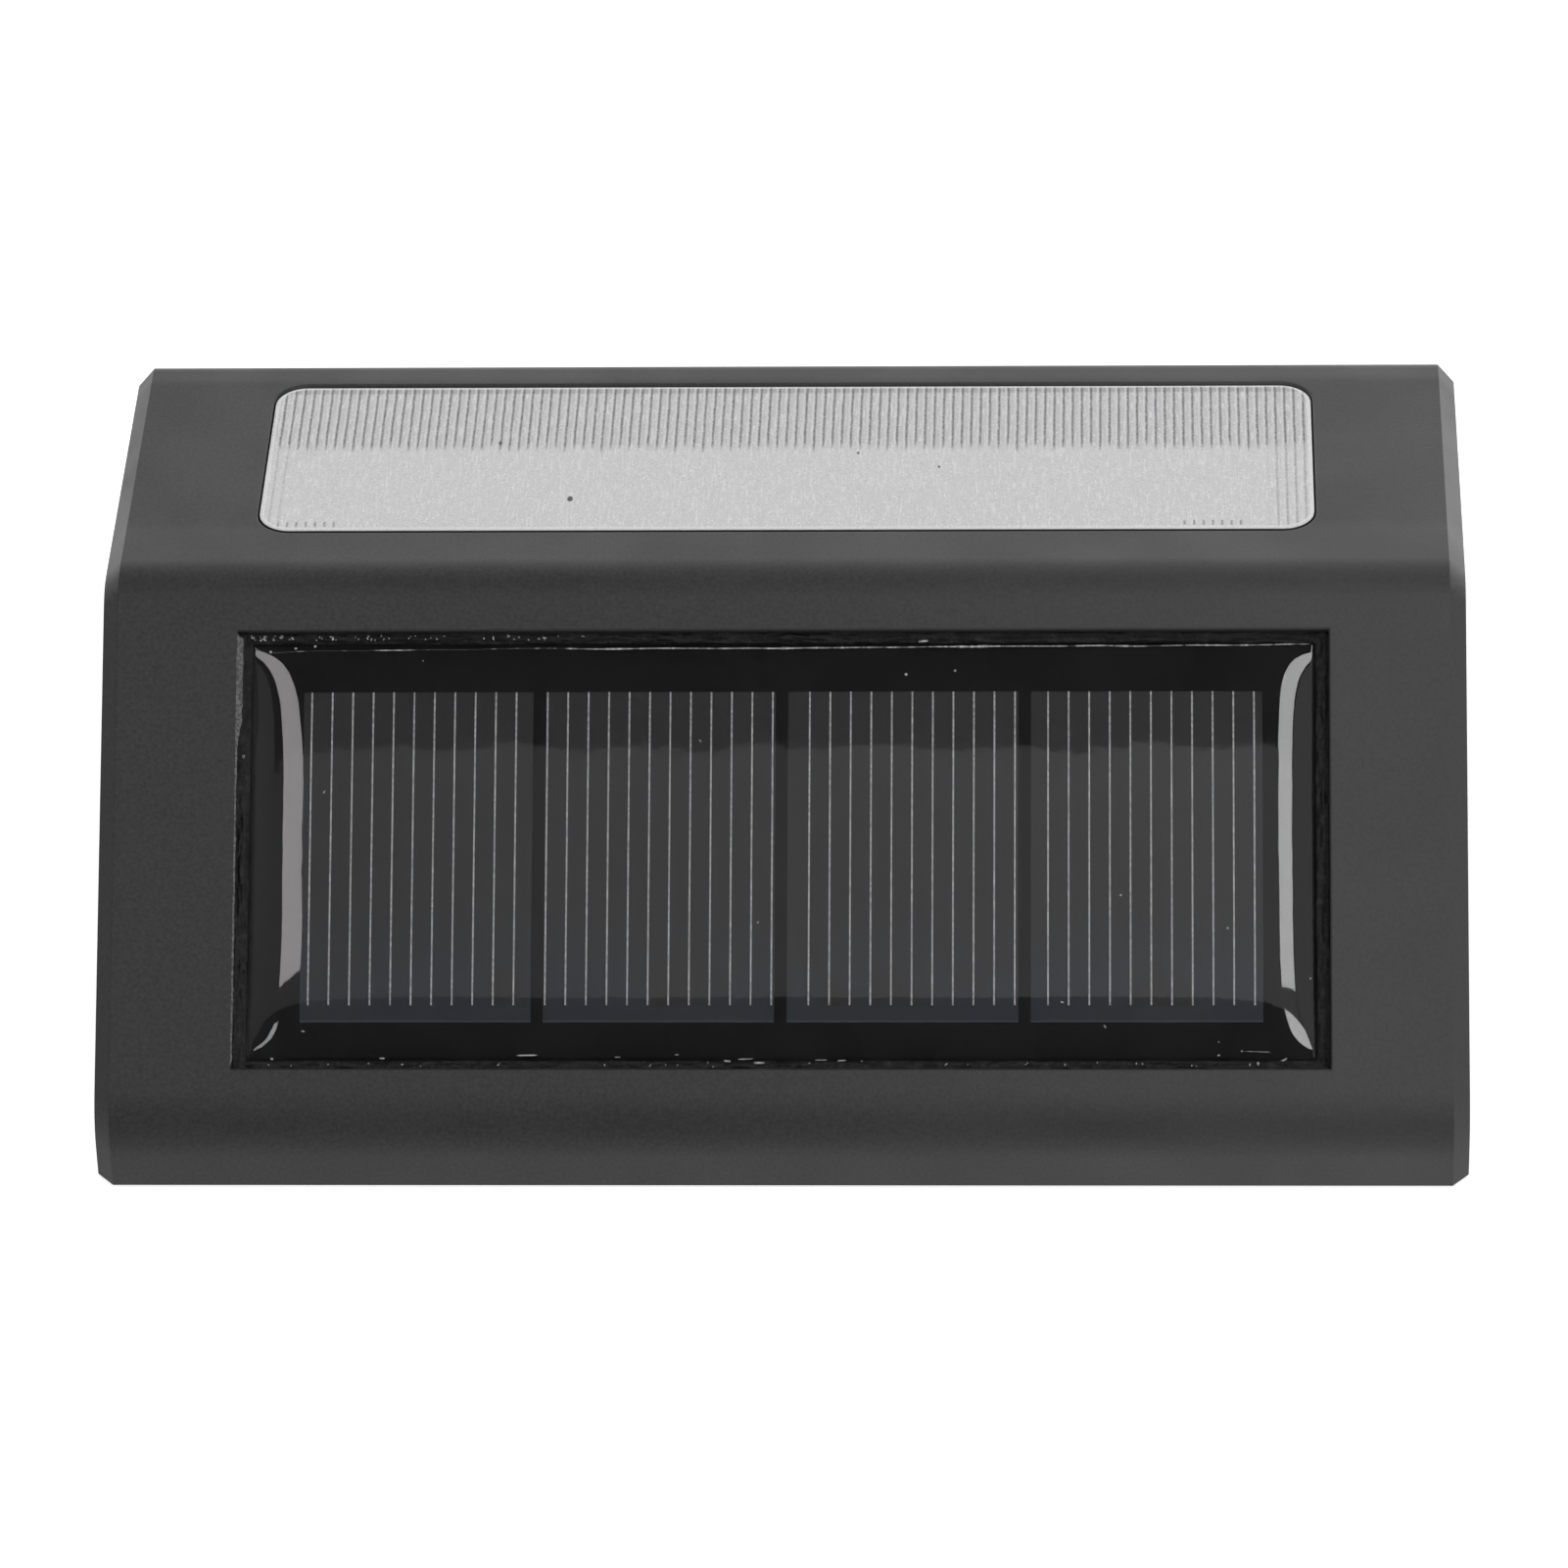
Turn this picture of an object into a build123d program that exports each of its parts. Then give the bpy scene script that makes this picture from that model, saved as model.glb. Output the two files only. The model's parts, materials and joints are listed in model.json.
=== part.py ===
from build123d import *
from math import cos, radians, sin, tan
import os

os.makedirs("parts", exist_ok=True)

# A solar fence light: a wedge-shaped housing that hangs on two screws.
# Frame: X runs across the width, +Z up the wall, and the origin is the centre of the back face.
# The light stands out from the wall towards -Y, so "depth" here means the distance in front of it.

# Housing
body_width = 120
body_height = 70
body_depth = 41
top_wall_depth = 6.35
slope_angle = 45
wall = 2
side_wall = 2.2
top_bend_radius = 8
front_bend_radius = 6
bottom_edge_radius = 2
end_chamfer_across = 1.45
end_chamfer_inward = 1.6
cut_overrun = 1
direction_tolerance = 0.001

# Seat of the back cover
cover_thickness = 2.2
cover_clearance = 0.3
cover_corner_radius = 1.5
gasket_thickness = 0.8
gasket_clearance = 0.2
ledge_width = 2
ledge_thickness = 1.6

# Self-tapping screws
cover_screw_radius = 1.45
cover_screw_length = 9.5
cover_screw_head_radius = 2.8
cover_screw_head_taper = 45
cover_screw_inset_x = 8
cover_screw_inset_z = 8
small_screw_radius = 1
small_screw_length = 5
small_screw_head_radius = 1.9
small_screw_head_height = 1.3
thread_clearance = 0.05
hole_clearance = 0.2
pilot_overrun = 1
screw_boss_wall = 1.95
boss_length = 13
web_thickness = 1.6
recess_arm = 1.5
recess_width = 0.5
recess_depth = 0.7

# Lens window, measured on the front face
window_from_end = 13
window_above_bottom = 4.4
window_below_bend = 6.95
window_corner_radius = 3
window_edge_radius = 0.3
lens_gap = 0.15
lens_recess = 0.3
lens_flange_width = 2
lens_flange_thickness = 1.2
lens_edge_radius = 0.25
rib_pitch = 0.83
rib_height = 0.35

# Light tray and lamp board
tray_depth = 6.4
tray_wall = 1.2
tray_margin = 0.5
ear_length = 7
ear_width = 8
ear_thickness = 2
led_count = 3
led_spacing = 28
led_length = 3.5
led_width = 2.8
led_height = 0.8
led_opening_clearance = 0.8
led_board_length = 78
led_board_width = 12
circuit_board_thickness = 1.2
stake_radius = 1
stake_head_radius = 1.8
stake_head_height = 0.7
stake_spacing = 68

# Solar panel in its pocket, measured along the sloping face
pocket_from_end = 12.1
pocket_length = 38.8
pocket_below_top_bend = 5.2
pocket_depth = 3.2
pocket_floor = 1.5
pocket_edge_radius = 0.25
panel_gap_x = 1.15
panel_gap_y = 0.9
adhesive_thickness = 0.3
panel_board_thickness = 1
resin_height = 1.7
resin_side_height = 0.4
resin_shoulder = 4.6
sealant_height = 2.1
cell_gap = 1.1
cell_thickness = 0.2
cell_from_panel_end = 4.7
cell_from_top = 4.3
cell_from_bottom = 5.3
cell_clearance = 0.02
finger_pitch = 1.8
finger_width = 0.14
finger_thickness = 0.03
finger_end_margin = 1.5
first_finger_offsets = (0.7, 0.15, 1.9, 1.5)
panel_hole_x = 23.75
panel_hole_radius = 2.6

# Keyholes in the back cover
keyhole_spacing = 76
keyhole_entry_below_top = 27
keyhole_travel = 7
keyhole_entry_radius = 4.2
keyhole_slot_radius = 2.1
chamber_radius = 4.7
chamber_depth = 4.5
chamber_wall = 1.2

# Slide switch, at the middle of the back cover
switch_below_top = 21
switch_travel = 2
switch_clearance = 0.3
stem_length = 3
stem_width = 2.2
stem_recess = 0.5
slider_length = 5
slider_width = 4
slider_thickness = 1.5
switch_shell = 0.5
switch_end_wall = 2
switch_base = 1.6
switch_recess_margin = 4
switch_recess_depth = 1.2
socket_wall = 1.2
socket_height = 3
terminal_count = 3
terminal_pitch = 3
terminal_width = 1
terminal_thickness = 0.5
terminal_length = 3

# Rechargeable cell and its cradle
cell_can_radius = 7.15
cell_can_length = 49.2
cell_button_radius = 2.75
cell_button_length = 1.3
sleeve_thickness = 0.1
battery_x = -16
battery_above_bottom = 18
cradle_wall = 1.4
cradle_floor = 1.5
cradle_clearance = 0.3
cradle_side_height = 9
foam_tape_thickness = 0.8
foam_tape_margin = 2
contact_thickness = 0.4
contact_width = 7
contact_tab = 4
spring_gap = 3.6

# Control board on the back cover
control_x = 32
control_above_bottom = 18
control_length = 28
control_width = 20
control_standoff = 3.8
standoff_radius = 2.6
control_screw_inset = 2.8
chip_length = 4.9
chip_width = 3.9
chip_height = 1.5
inductor_radius = 2.6
inductor_height = 4.2
inductor_waist_radius = 1.7
inductor_flange = 0.8
capacitor_radius = 2.5
capacitor_height = 6
capacitor_edge_radius = 0.3

# Wires, and the pads they end on, measured from the control board's middle
wire_radius = 0.6
wire_bend_share = 0.45
pad_inset = 3
pad_lift = 4.5
panel_pads_x = (-9.8, -6.4)
switch_pads_x = (-3, 0)
led_pads_x = (4, 7.5)
battery_pads_z = (-2, 2)
panel_wire_spacing = 2.6
led_wire_spacing = 5
contact_wire_inset = 1.5

# Where the angles and levels above lead to
slope = radians(slope_angle)
inner_width = body_width - 2 * side_wall
inner_height = body_height - 2 * wall
ledge_depth = cover_thickness + gasket_thickness
front_wall_depth = body_depth - wall
slope_drop = (body_depth - top_wall_depth) / tan(slope)
window_width = body_width - 2 * window_from_end
window_height = body_height - slope_drop - window_above_bottom - window_below_bend
window_z = -body_height / 2 + window_above_bottom + window_height / 2
pocket_width = body_width - 2 * pocket_from_end
pocket_middle = pocket_below_top_bend + pocket_length / 2
boss_radius = cover_screw_radius + screw_boss_wall
screw_x = body_width / 2 - cover_screw_inset_x
screw_z = body_height / 2 - cover_screw_inset_z
flange_depth = front_wall_depth - lens_flange_thickness
tray_floor_depth = flange_depth - tray_depth
led_board_depth = tray_floor_depth - tray_wall
ear_depth = front_wall_depth - small_screw_length - ear_thickness / 2
panel_width = pocket_width - 2 * panel_gap_x
panel_length = pocket_length - 2 * panel_gap_y
panel_underside = -pocket_depth + adhesive_thickness
panel_top = panel_underside + panel_board_thickness
cell_count = len(first_finger_offsets)
cell_row_width = panel_width - 2 * cell_from_panel_end
cell_width = (cell_row_width - (cell_count - 1) * cell_gap) / cell_count
cell_length = pocket_length - cell_from_top - cell_from_bottom
cell_middle_y = pocket_length / 2 - cell_from_top - cell_length / 2
keyhole_entry_z = body_height / 2 - keyhole_entry_below_top
switch_z = body_height / 2 - switch_below_top
battery_z = battery_above_bottom - body_height / 2
control_z = control_above_bottom - body_height / 2
stem_slot_length = stem_length + switch_travel + 2 * switch_clearance
stem_slot_width = stem_width + 2 * switch_clearance
switch_cavity_length = slider_length + switch_travel + 2 * switch_clearance
switch_cavity_width = slider_width + 2 * switch_clearance
switch_cavity_depth = slider_thickness + 2 * switch_clearance
switch_case_length = switch_cavity_length + 2 * switch_end_wall
switch_case_width = switch_cavity_width + 2 * switch_shell
switch_case_depth = switch_shell + switch_cavity_depth + switch_base
switch_cavity_level = cover_thickness + switch_shell
stem_x = -switch_travel / 2
cradle_level = cover_thickness + foam_tape_thickness
sleeve_radius = cell_can_radius + sleeve_thickness
battery_depth = cradle_level + cradle_floor + cradle_clearance + sleeve_radius
cradle_inner_width = 2 * (sleeve_radius + cradle_clearance)
cell_negative_x = battery_x - (cell_can_length + cell_button_length) / 2
cell_button_x = cell_negative_x + cell_can_length + cell_button_length
cradle_left = cell_negative_x - spring_gap
cradle_right = cell_button_x + contact_thickness
cradle_inner_length = cradle_right - cradle_left
cradle_middle_x = (cradle_left + cradle_right) / 2
contact_top = cradle_level + cradle_floor + cradle_side_height + contact_tab
control_level = cover_thickness + control_standoff
control_face = control_level + circuit_board_thickness


# A plane parallel to the wall, facing forward, at the given distance in front of it.
def wall_plane(depth):
    return Plane.XZ.offset(depth)


# Corners of the wedge's side profile as (y, z), with every face but the rear moved inward.
def wedge_outline(inset, rear):
    top = body_height / 2 - inset
    front = inset - body_depth
    top_bend = -top_wall_depth + inset * (1 - sin(slope)) / cos(slope)
    front_bend = body_height / 2 - slope_drop - inset * (1 - cos(slope)) / sin(slope)
    return (rear, top), (top_bend, top), (front, front_bend), (front, -top), (rear, -top)


# The plane of the sloping face: its origin is the pocket's middle, +Y runs up the slope.
slope_plane = Plane(
    origin=(
        0,
        -top_wall_depth - pocket_middle * sin(slope),
        body_height / 2 - pocket_middle * cos(slope),
    ),
    x_dir=(1, 0, 0),
    z_dir=(0, -cos(slope), sin(slope)),
)

cover_screw_spots = [(x, z) for x in (-screw_x, screw_x) for z in (-screw_z, screw_z)]
ear_x = window_width / 2 + tray_margin + tray_wall + ear_length / 2
ear_spots = [(-ear_x, window_z), (ear_x, window_z)]
keyhole_spots = [(-keyhole_spacing / 2, keyhole_entry_z), (keyhole_spacing / 2, keyhole_entry_z)]
control_screw_spots = [
    (
        control_x + side * (control_length / 2 - control_screw_inset),
        control_z + side * (control_width / 2 - control_screw_inset),
    )
    for side in (-1, 1)
]

# The outside of the housing, solid: bends rounded, both ends chamfered.
with BuildPart() as body_block:
    with BuildSketch(Plane.YZ):
        Polygon(*wedge_outline(0, 0), align=None)
    extrude(amount=body_width / 2, both=True)
    rear_top, top_bend, front_bend, bottom_edge, rear_bottom = wedge_outline(0, 0)
    for corner, radius in (
        (top_bend, top_bend_radius),
        (front_bend, front_bend_radius),
        (bottom_edge, bottom_edge_radius),
    ):
        long_edges = body_block.edges().filter_by(Axis.X)
        fillet(long_edges.sort_by_distance((0, *corner))[0], radius=radius)
    for end in (0, -1):
        end_face = body_block.faces().filter_by(Axis.X).sort_by(Axis.X)[end]
        chamfer(
            end_face.edges().sort_by(Axis.Y)[:-1],
            length=end_chamfer_inward,
            length2=end_chamfer_across,
            reference=end_face,
        )

# What stands inside the housing: cover ledge, screw bosses with webs, panel pocket, tray bosses.
with BuildPart() as housing_inside:
    with BuildSketch(wall_plane(ledge_depth)):
        Rectangle(inner_width + wall, inner_height + wall)
        Rectangle(inner_width - 2 * ledge_width, inner_height - 2 * ledge_width, mode=Mode.SUBTRACT)
    extrude(amount=ledge_thickness)
    with BuildSketch(wall_plane(cover_thickness)):
        with Locations(*cover_screw_spots):
            Circle(boss_radius)
    extrude(amount=boss_length)
    with BuildSketch(wall_plane(ledge_depth)):
        for x, z in cover_screw_spots:
            side, end = x / abs(x), z / abs(z)
            with Locations((x + side * cover_screw_inset_x / 2, z)):
                Rectangle(cover_screw_inset_x - side_wall / 2, web_thickness)
            with Locations((x, z + end * cover_screw_inset_z / 2)):
                Rectangle(web_thickness, cover_screw_inset_z - wall / 2)
    extrude(amount=boss_length - gasket_thickness)
    with BuildSketch(slope_plane):
        Rectangle(pocket_width + 2 * pocket_floor, pocket_length + 2 * pocket_floor)
    extrude(amount=-pocket_depth - pocket_floor)
    with BuildSketch(wall_plane(ear_depth + ear_thickness)):
        with Locations(*ear_spots):
            Circle(small_screw_radius + screw_boss_wall)
    extrude(amount=front_wall_depth - ear_depth - ear_thickness + wall / 2)
    add(body_block, mode=Mode.INTERSECT)

with BuildPart() as front_housing:
    add(body_block)
    with BuildSketch(Plane.YZ):
        Polygon(*wedge_outline(wall, cut_overrun), align=None)
    extrude(amount=inner_width / 2, both=True, mode=Mode.SUBTRACT)
    add(housing_inside)
    with BuildSketch(slope_plane):
        Rectangle(pocket_width, pocket_length)
    extrude(amount=-pocket_depth, mode=Mode.SUBTRACT)
    with BuildSketch(slope_plane):
        with Locations((panel_hole_x, 0)):
            Circle(panel_hole_radius)
    extrude(amount=-pocket_depth - pocket_floor - cut_overrun, mode=Mode.SUBTRACT)
    with BuildSketch(wall_plane(front_wall_depth - cut_overrun)):
        with Locations((0, window_z)):
            RectangleRounded(window_width, window_height, window_corner_radius)
    extrude(amount=wall + 2 * cut_overrun, mode=Mode.SUBTRACT)
    with BuildSketch(wall_plane(cover_thickness)):
        with Locations(*cover_screw_spots):
            Circle(cover_screw_radius + thread_clearance)
    extrude(amount=cover_screw_length - cover_thickness + pilot_overrun, mode=Mode.SUBTRACT)
    with BuildSketch(wall_plane(ear_depth + ear_thickness)):
        with Locations(*ear_spots):
            Circle(small_screw_radius + thread_clearance)
    extrude(amount=small_screw_length - ear_thickness + thread_clearance, mode=Mode.SUBTRACT)
    slope_faces = front_housing.faces().filter_by(
        lambda face: (face.normal_at() - slope_plane.z_dir).length < direction_tolerance
    )
    rim_face = slope_faces.sort_by(Axis.Y)[0]
    fillet(rim_face.inner_wires().edges(), radius=pocket_edge_radius)
    front_face = front_housing.faces().filter_by(Axis.Y).sort_by(Axis.Y)[0]
    fillet(front_face.inner_wires().edges(), radius=window_edge_radius)
front_housing.part.label = "front_housing"
export_step(front_housing.part, "parts/front_housing.step")

# Frosted lens: a pad that fills the window, a flange behind the wall, and fine ribs inside.
rib_count = int((window_width - rib_pitch) / rib_pitch)
rib_start = -rib_count * rib_pitch / 2
rib_root = -flange_depth - lens_flange_thickness / 2
with BuildPart() as diffuser_lens:
    with BuildSketch(wall_plane(flange_depth)):
        with Locations((0, window_z)):
            RectangleRounded(
                window_width + 2 * lens_flange_width,
                window_height + 2 * lens_flange_width,
                window_corner_radius + lens_flange_width,
            )
    extrude(amount=lens_flange_thickness)
    with BuildSketch(wall_plane(flange_depth)):
        with Locations((0, window_z)):
            RectangleRounded(
                window_width - 2 * lens_gap,
                window_height - 2 * lens_gap,
                window_corner_radius - lens_gap,
            )
    extrude(amount=body_depth - lens_recess - flange_depth)
    lens_front = diffuser_lens.faces().filter_by(Axis.Y).sort_by(Axis.Y)[0]
    fillet(lens_front.edges(), radius=lens_edge_radius)
    with BuildSketch(Plane.XY.offset(window_z - window_height / 2 + lens_gap)):
        with BuildLine():
            ridge = [(rib_start, rib_root)]
            for rib in range(rib_count):
                left = rib_start + rib * rib_pitch
                ridge.append((left, -flange_depth))
                ridge.append((left + rib_pitch / 2, rib_height - flange_depth))
            ridge.append((-rib_start, -flange_depth))
            ridge.append((-rib_start, rib_root))
            Polyline(*ridge, close=True)
        make_face()
    extrude(amount=window_height - 2 * lens_gap)
diffuser_lens.part.label = "diffuser_lens"
export_step(diffuser_lens.part, "parts/diffuser_lens.step")

# White tray behind the lens, with two screw ears and two stakes for the lamp board.
stake_spots = [(-stake_spacing / 2, window_z), (stake_spacing / 2, window_z)]
led_spots = [(led_spacing * (led - (led_count - 1) / 2), window_z) for led in range(led_count)]
with BuildPart() as light_tray:
    with BuildSketch(wall_plane(led_board_depth)):
        with Locations((0, window_z)):
            RectangleRounded(
                window_width + 2 * (tray_margin + tray_wall),
                window_height + 2 * (tray_margin + tray_wall),
                window_corner_radius + tray_wall,
            )
    extrude(amount=flange_depth - led_board_depth)
    with BuildSketch(wall_plane(ear_depth)):
        with Locations(*ear_spots):
            Rectangle(ear_length + tray_wall, ear_width)
    extrude(amount=ear_thickness)
    with BuildSketch(wall_plane(tray_floor_depth)):
        with Locations((0, window_z)):
            RectangleRounded(
                window_width + 2 * tray_margin, window_height + 2 * tray_margin, window_corner_radius
            )
    extrude(amount=tray_depth, mode=Mode.SUBTRACT)
    with BuildSketch(wall_plane(led_board_depth)):
        with Locations(*led_spots):
            Rectangle(led_length + 2 * led_opening_clearance, led_width + 2 * led_opening_clearance)
    extrude(amount=tray_wall, mode=Mode.SUBTRACT)
    with BuildSketch(wall_plane(ear_depth)):
        with Locations(*ear_spots):
            Circle(small_screw_radius + hole_clearance)
    extrude(amount=ear_thickness, mode=Mode.SUBTRACT)
    with BuildSketch(wall_plane(led_board_depth)):
        with Locations(*stake_spots):
            Circle(stake_radius)
    extrude(amount=-circuit_board_thickness)
    with BuildSketch(wall_plane(led_board_depth - circuit_board_thickness)):
        with Locations(*stake_spots):
            Circle(stake_head_radius)
    extrude(amount=-stake_head_height)
light_tray.part.label = "light_tray"
export_step(light_tray.part, "parts/light_tray.step")

# Lamp board behind the tray, with its LEDs standing in the tray's openings.
with BuildPart() as led_board:
    with BuildSketch(wall_plane(led_board_depth)):
        with Locations((0, window_z)):
            Rectangle(led_board_length, led_board_width)
        with Locations(*stake_spots):
            Circle(stake_radius + hole_clearance, mode=Mode.SUBTRACT)
    extrude(amount=-circuit_board_thickness)
led_board.part.label = "led_board"
export_step(led_board.part, "parts/led_board.step")

with BuildPart() as led_chips:
    with BuildSketch(wall_plane(led_board_depth)):
        with Locations(*led_spots):
            Rectangle(led_length, led_width)
    extrude(amount=led_height)
led_chips.part.label = "led_chips"
export_step(led_chips.part, "parts/led_chips.step")

# Dark carrier board of the solar panel, bedded in the pocket.
with BuildPart() as panel_board:
    with BuildSketch(slope_plane.offset(panel_underside)):
        Rectangle(panel_width, panel_length)
    extrude(amount=panel_board_thickness)
panel_board.part.label = "panel_board"
export_step(panel_board.part, "parts/panel_board.step")

# Silicon cells in a row from +X to -X, each with its own run of printed silver fingers.
cell_lefts = [cell_row_width / 2 - cell * (cell_width + cell_gap) for cell in range(cell_count)]
finger_length = cell_length - finger_end_margin
finger_y = cell_middle_y - finger_end_margin / 2
for number, (cell_edge, first_finger) in enumerate(zip(cell_lefts, first_finger_offsets), 1):
    finger_count = int((cell_width - finger_width / 2 - first_finger) / finger_pitch) + 1
    with BuildPart() as solar_cell:
        with BuildSketch(slope_plane.offset(panel_top)):
            with Locations((cell_edge - cell_width / 2, cell_middle_y)):
                Rectangle(cell_width, cell_length)
        extrude(amount=cell_thickness)
    solar_cell.part.label = f"solar_cell_{number}"
    export_step(solar_cell.part, f"parts/solar_cell_{number}.step")

    with BuildPart() as cell_fingers:
        with BuildSketch(slope_plane.offset(panel_top + cell_thickness)):
            for finger in range(finger_count):
                with Locations((cell_edge - first_finger - finger * finger_pitch, finger_y)):
                    Rectangle(finger_width, finger_length)
        extrude(amount=finger_thickness)
    cell_fingers.part.label = f"cell_fingers_{number}"
    export_step(cell_fingers.part, f"parts/cell_fingers_{number}.step")


# One cross-section of the resin: short upright sides, round shoulders and a flat top.
def resin_section(plane, width):
    drop = resin_height - resin_side_height
    shoulder_radius = (resin_shoulder**2 + drop**2) / (2 * drop)
    with BuildSketch(plane) as section:
        with BuildLine():
            side = Polyline(
                (-width / 2, resin_side_height), (-width / 2, 0), (width / 2, 0), (width / 2, resin_side_height)
            )
            top = Line((width / 2 - resin_shoulder, resin_height), (resin_shoulder - width / 2, resin_height))
            RadiusArc(side @ 1, top @ 0, -shoulder_radius)
            RadiusArc(top @ 1, side @ 0, -shoulder_radius)
        make_face()
    return section.sketch


# Clear resin poured over the cells: the two cross-sections meet in mitred corners.
resin_base = slope_plane.offset(panel_top)
across_section = resin_section(
    Plane(origin=resin_base.origin, x_dir=slope_plane.x_dir, z_dir=-slope_plane.y_dir), panel_width
)
along_section = resin_section(
    Plane(origin=resin_base.origin, x_dir=slope_plane.y_dir, z_dir=slope_plane.x_dir), panel_length
)
with BuildPart() as resin_dome:
    extrude(across_section, amount=panel_length / 2, both=True)
    extrude(along_section, amount=panel_width / 2, both=True, mode=Mode.INTERSECT)
    with BuildSketch(resin_base):
        for cell_edge in cell_lefts:
            with Locations((cell_edge - cell_width / 2, cell_middle_y)):
                Rectangle(cell_width + 2 * cell_clearance, cell_length + 2 * cell_clearance)
    extrude(amount=cell_thickness + finger_thickness + cell_clearance, mode=Mode.SUBTRACT)
resin_dome.part.label = "resin_dome"
export_step(resin_dome.part, "parts/resin_dome.step")

# Black glue: a thin bed under the panel and a collar round it, open where the wires pass.
with BuildPart() as panel_sealant:
    with BuildSketch(slope_plane.offset(-pocket_depth)):
        Rectangle(pocket_width, pocket_length)
    extrude(amount=sealant_height)
    with BuildSketch(slope_plane.offset(panel_underside)):
        Rectangle(panel_width, panel_length)
    extrude(amount=sealant_height, mode=Mode.SUBTRACT)
    with BuildSketch(slope_plane.offset(-pocket_depth)):
        with Locations((panel_hole_x, 0)):
            Circle(panel_hole_radius)
    extrude(amount=adhesive_thickness, mode=Mode.SUBTRACT)
panel_sealant.part.label = "panel_sealant"
export_step(panel_sealant.part, "parts/panel_sealant.step")

# Back cover, flush with the housing's rim: keyholes with closed cups, switch slot, screw holes.
with BuildPart() as back_cover:
    with BuildSketch(wall_plane(0)):
        RectangleRounded(
            inner_width - 2 * cover_clearance, inner_height - 2 * cover_clearance, cover_corner_radius
        )
    extrude(amount=cover_thickness)
    cup_middles = [(x, z + keyhole_travel / 2) for x, z in keyhole_spots]
    with BuildSketch(wall_plane(cover_thickness)):
        with Locations(*cup_middles):
            SlotCenterToCenter(keyhole_travel, 2 * (chamber_radius + chamber_wall), rotation=90)
    extrude(amount=chamber_depth + chamber_wall)
    with BuildSketch(wall_plane(cover_thickness)):
        with Locations(*cup_middles):
            SlotCenterToCenter(keyhole_travel, 2 * chamber_radius, rotation=90)
    extrude(amount=chamber_depth, mode=Mode.SUBTRACT)
    with BuildSketch(wall_plane(0)):
        with Locations(*cup_middles):
            SlotCenterToCenter(keyhole_travel, 2 * keyhole_slot_radius, rotation=90)
        with Locations(*keyhole_spots):
            Circle(keyhole_entry_radius)
    extrude(amount=cover_thickness, mode=Mode.SUBTRACT)
    with BuildSketch(wall_plane(0)):
        with Locations((0, switch_z)):
            RectangleRounded(
                stem_slot_length + 2 * switch_recess_margin,
                stem_slot_width + switch_recess_margin,
                cover_corner_radius,
            )
    extrude(amount=switch_recess_depth, mode=Mode.SUBTRACT)
    with BuildSketch(wall_plane(0)):
        with Locations((0, switch_z)):
            Rectangle(stem_slot_length, stem_slot_width)
    extrude(amount=cover_thickness, mode=Mode.SUBTRACT)
    with BuildSketch(wall_plane(cover_thickness)):
        with Locations((0, switch_z)):
            Rectangle(switch_case_length + 2 * socket_wall, switch_case_width + 2 * socket_wall)
            Rectangle(switch_case_length, switch_case_width, mode=Mode.SUBTRACT)
    extrude(amount=socket_height)
    with BuildSketch(wall_plane(cover_thickness)):
        with Locations(*control_screw_spots):
            Circle(standoff_radius)
            Circle(small_screw_radius + thread_clearance, mode=Mode.SUBTRACT)
    extrude(amount=control_standoff)
    with Locations(*[Plane(origin=(x, 0, z), z_dir=(0, 1, 0)).location for x, z in cover_screw_spots]):
        CounterSinkHole(
            radius=cover_screw_radius + hole_clearance,
            counter_sink_radius=cover_screw_head_radius + hole_clearance,
            counter_sink_angle=2 * cover_screw_head_taper,
        )
back_cover.part.label = "back_cover"
export_step(back_cover.part, "parts/back_cover.step")

# Soft seal between the ledge and the cover's edge.
with BuildPart() as cover_gasket:
    with BuildSketch(wall_plane(cover_thickness)):
        Rectangle(inner_width - 2 * gasket_clearance, inner_height - 2 * gasket_clearance)
        Rectangle(inner_width - 2 * ledge_width, inner_height - 2 * ledge_width, mode=Mode.SUBTRACT)
    extrude(amount=gasket_thickness)
cover_gasket.part.label = "cover_gasket"
export_step(cover_gasket.part, "parts/cover_gasket.step")

# Four countersunk screws, heads just under the back face, each with a cross recess.
head_sink = hole_clearance
head_height = (cover_screw_head_radius - cover_screw_radius) / tan(radians(cover_screw_head_taper))
with BuildPart() as cover_screws:
    with BuildSketch(wall_plane(head_sink)):
        with Locations(*cover_screw_spots):
            Circle(cover_screw_head_radius)
    extrude(amount=head_height, taper=cover_screw_head_taper)
    with BuildSketch(wall_plane(head_sink)):
        with Locations(*cover_screw_spots):
            Circle(cover_screw_radius)
    extrude(amount=cover_screw_length - head_sink)
    with BuildSketch(wall_plane(head_sink)):
        with Locations(*cover_screw_spots):
            Rectangle(2 * recess_arm, recess_width)
            Rectangle(recess_width, 2 * recess_arm)
    extrude(amount=recess_depth, mode=Mode.SUBTRACT)
cover_screws.part.label = "cover_screws"
export_step(cover_screws.part, "parts/cover_screws.step")


# A pair of small pan-head screws: heads start at the given depth and the shanks run forward
# for forward = 1, back towards the wall for forward = -1.
def small_screws(spots, head_depth, forward):
    with BuildPart() as screws:
        with BuildSketch(wall_plane(head_depth)):
            with Locations(*spots):
                Circle(small_screw_head_radius)
        extrude(amount=-forward * small_screw_head_height)
        with BuildSketch(wall_plane(head_depth)):
            with Locations(*spots):
                Circle(small_screw_radius)
        extrude(amount=forward * small_screw_length)
        with BuildSketch(wall_plane(head_depth - forward * small_screw_head_height)):
            with Locations(*spots):
                Rectangle(recess_arm, recess_width)
                Rectangle(recess_width, recess_arm)
        extrude(amount=forward * recess_depth, mode=Mode.SUBTRACT)
    return screws.part


tray_screws = small_screws(ear_spots, ear_depth, 1)
tray_screws.label = "tray_screws"
export_step(tray_screws, "parts/tray_screws.step")

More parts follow.
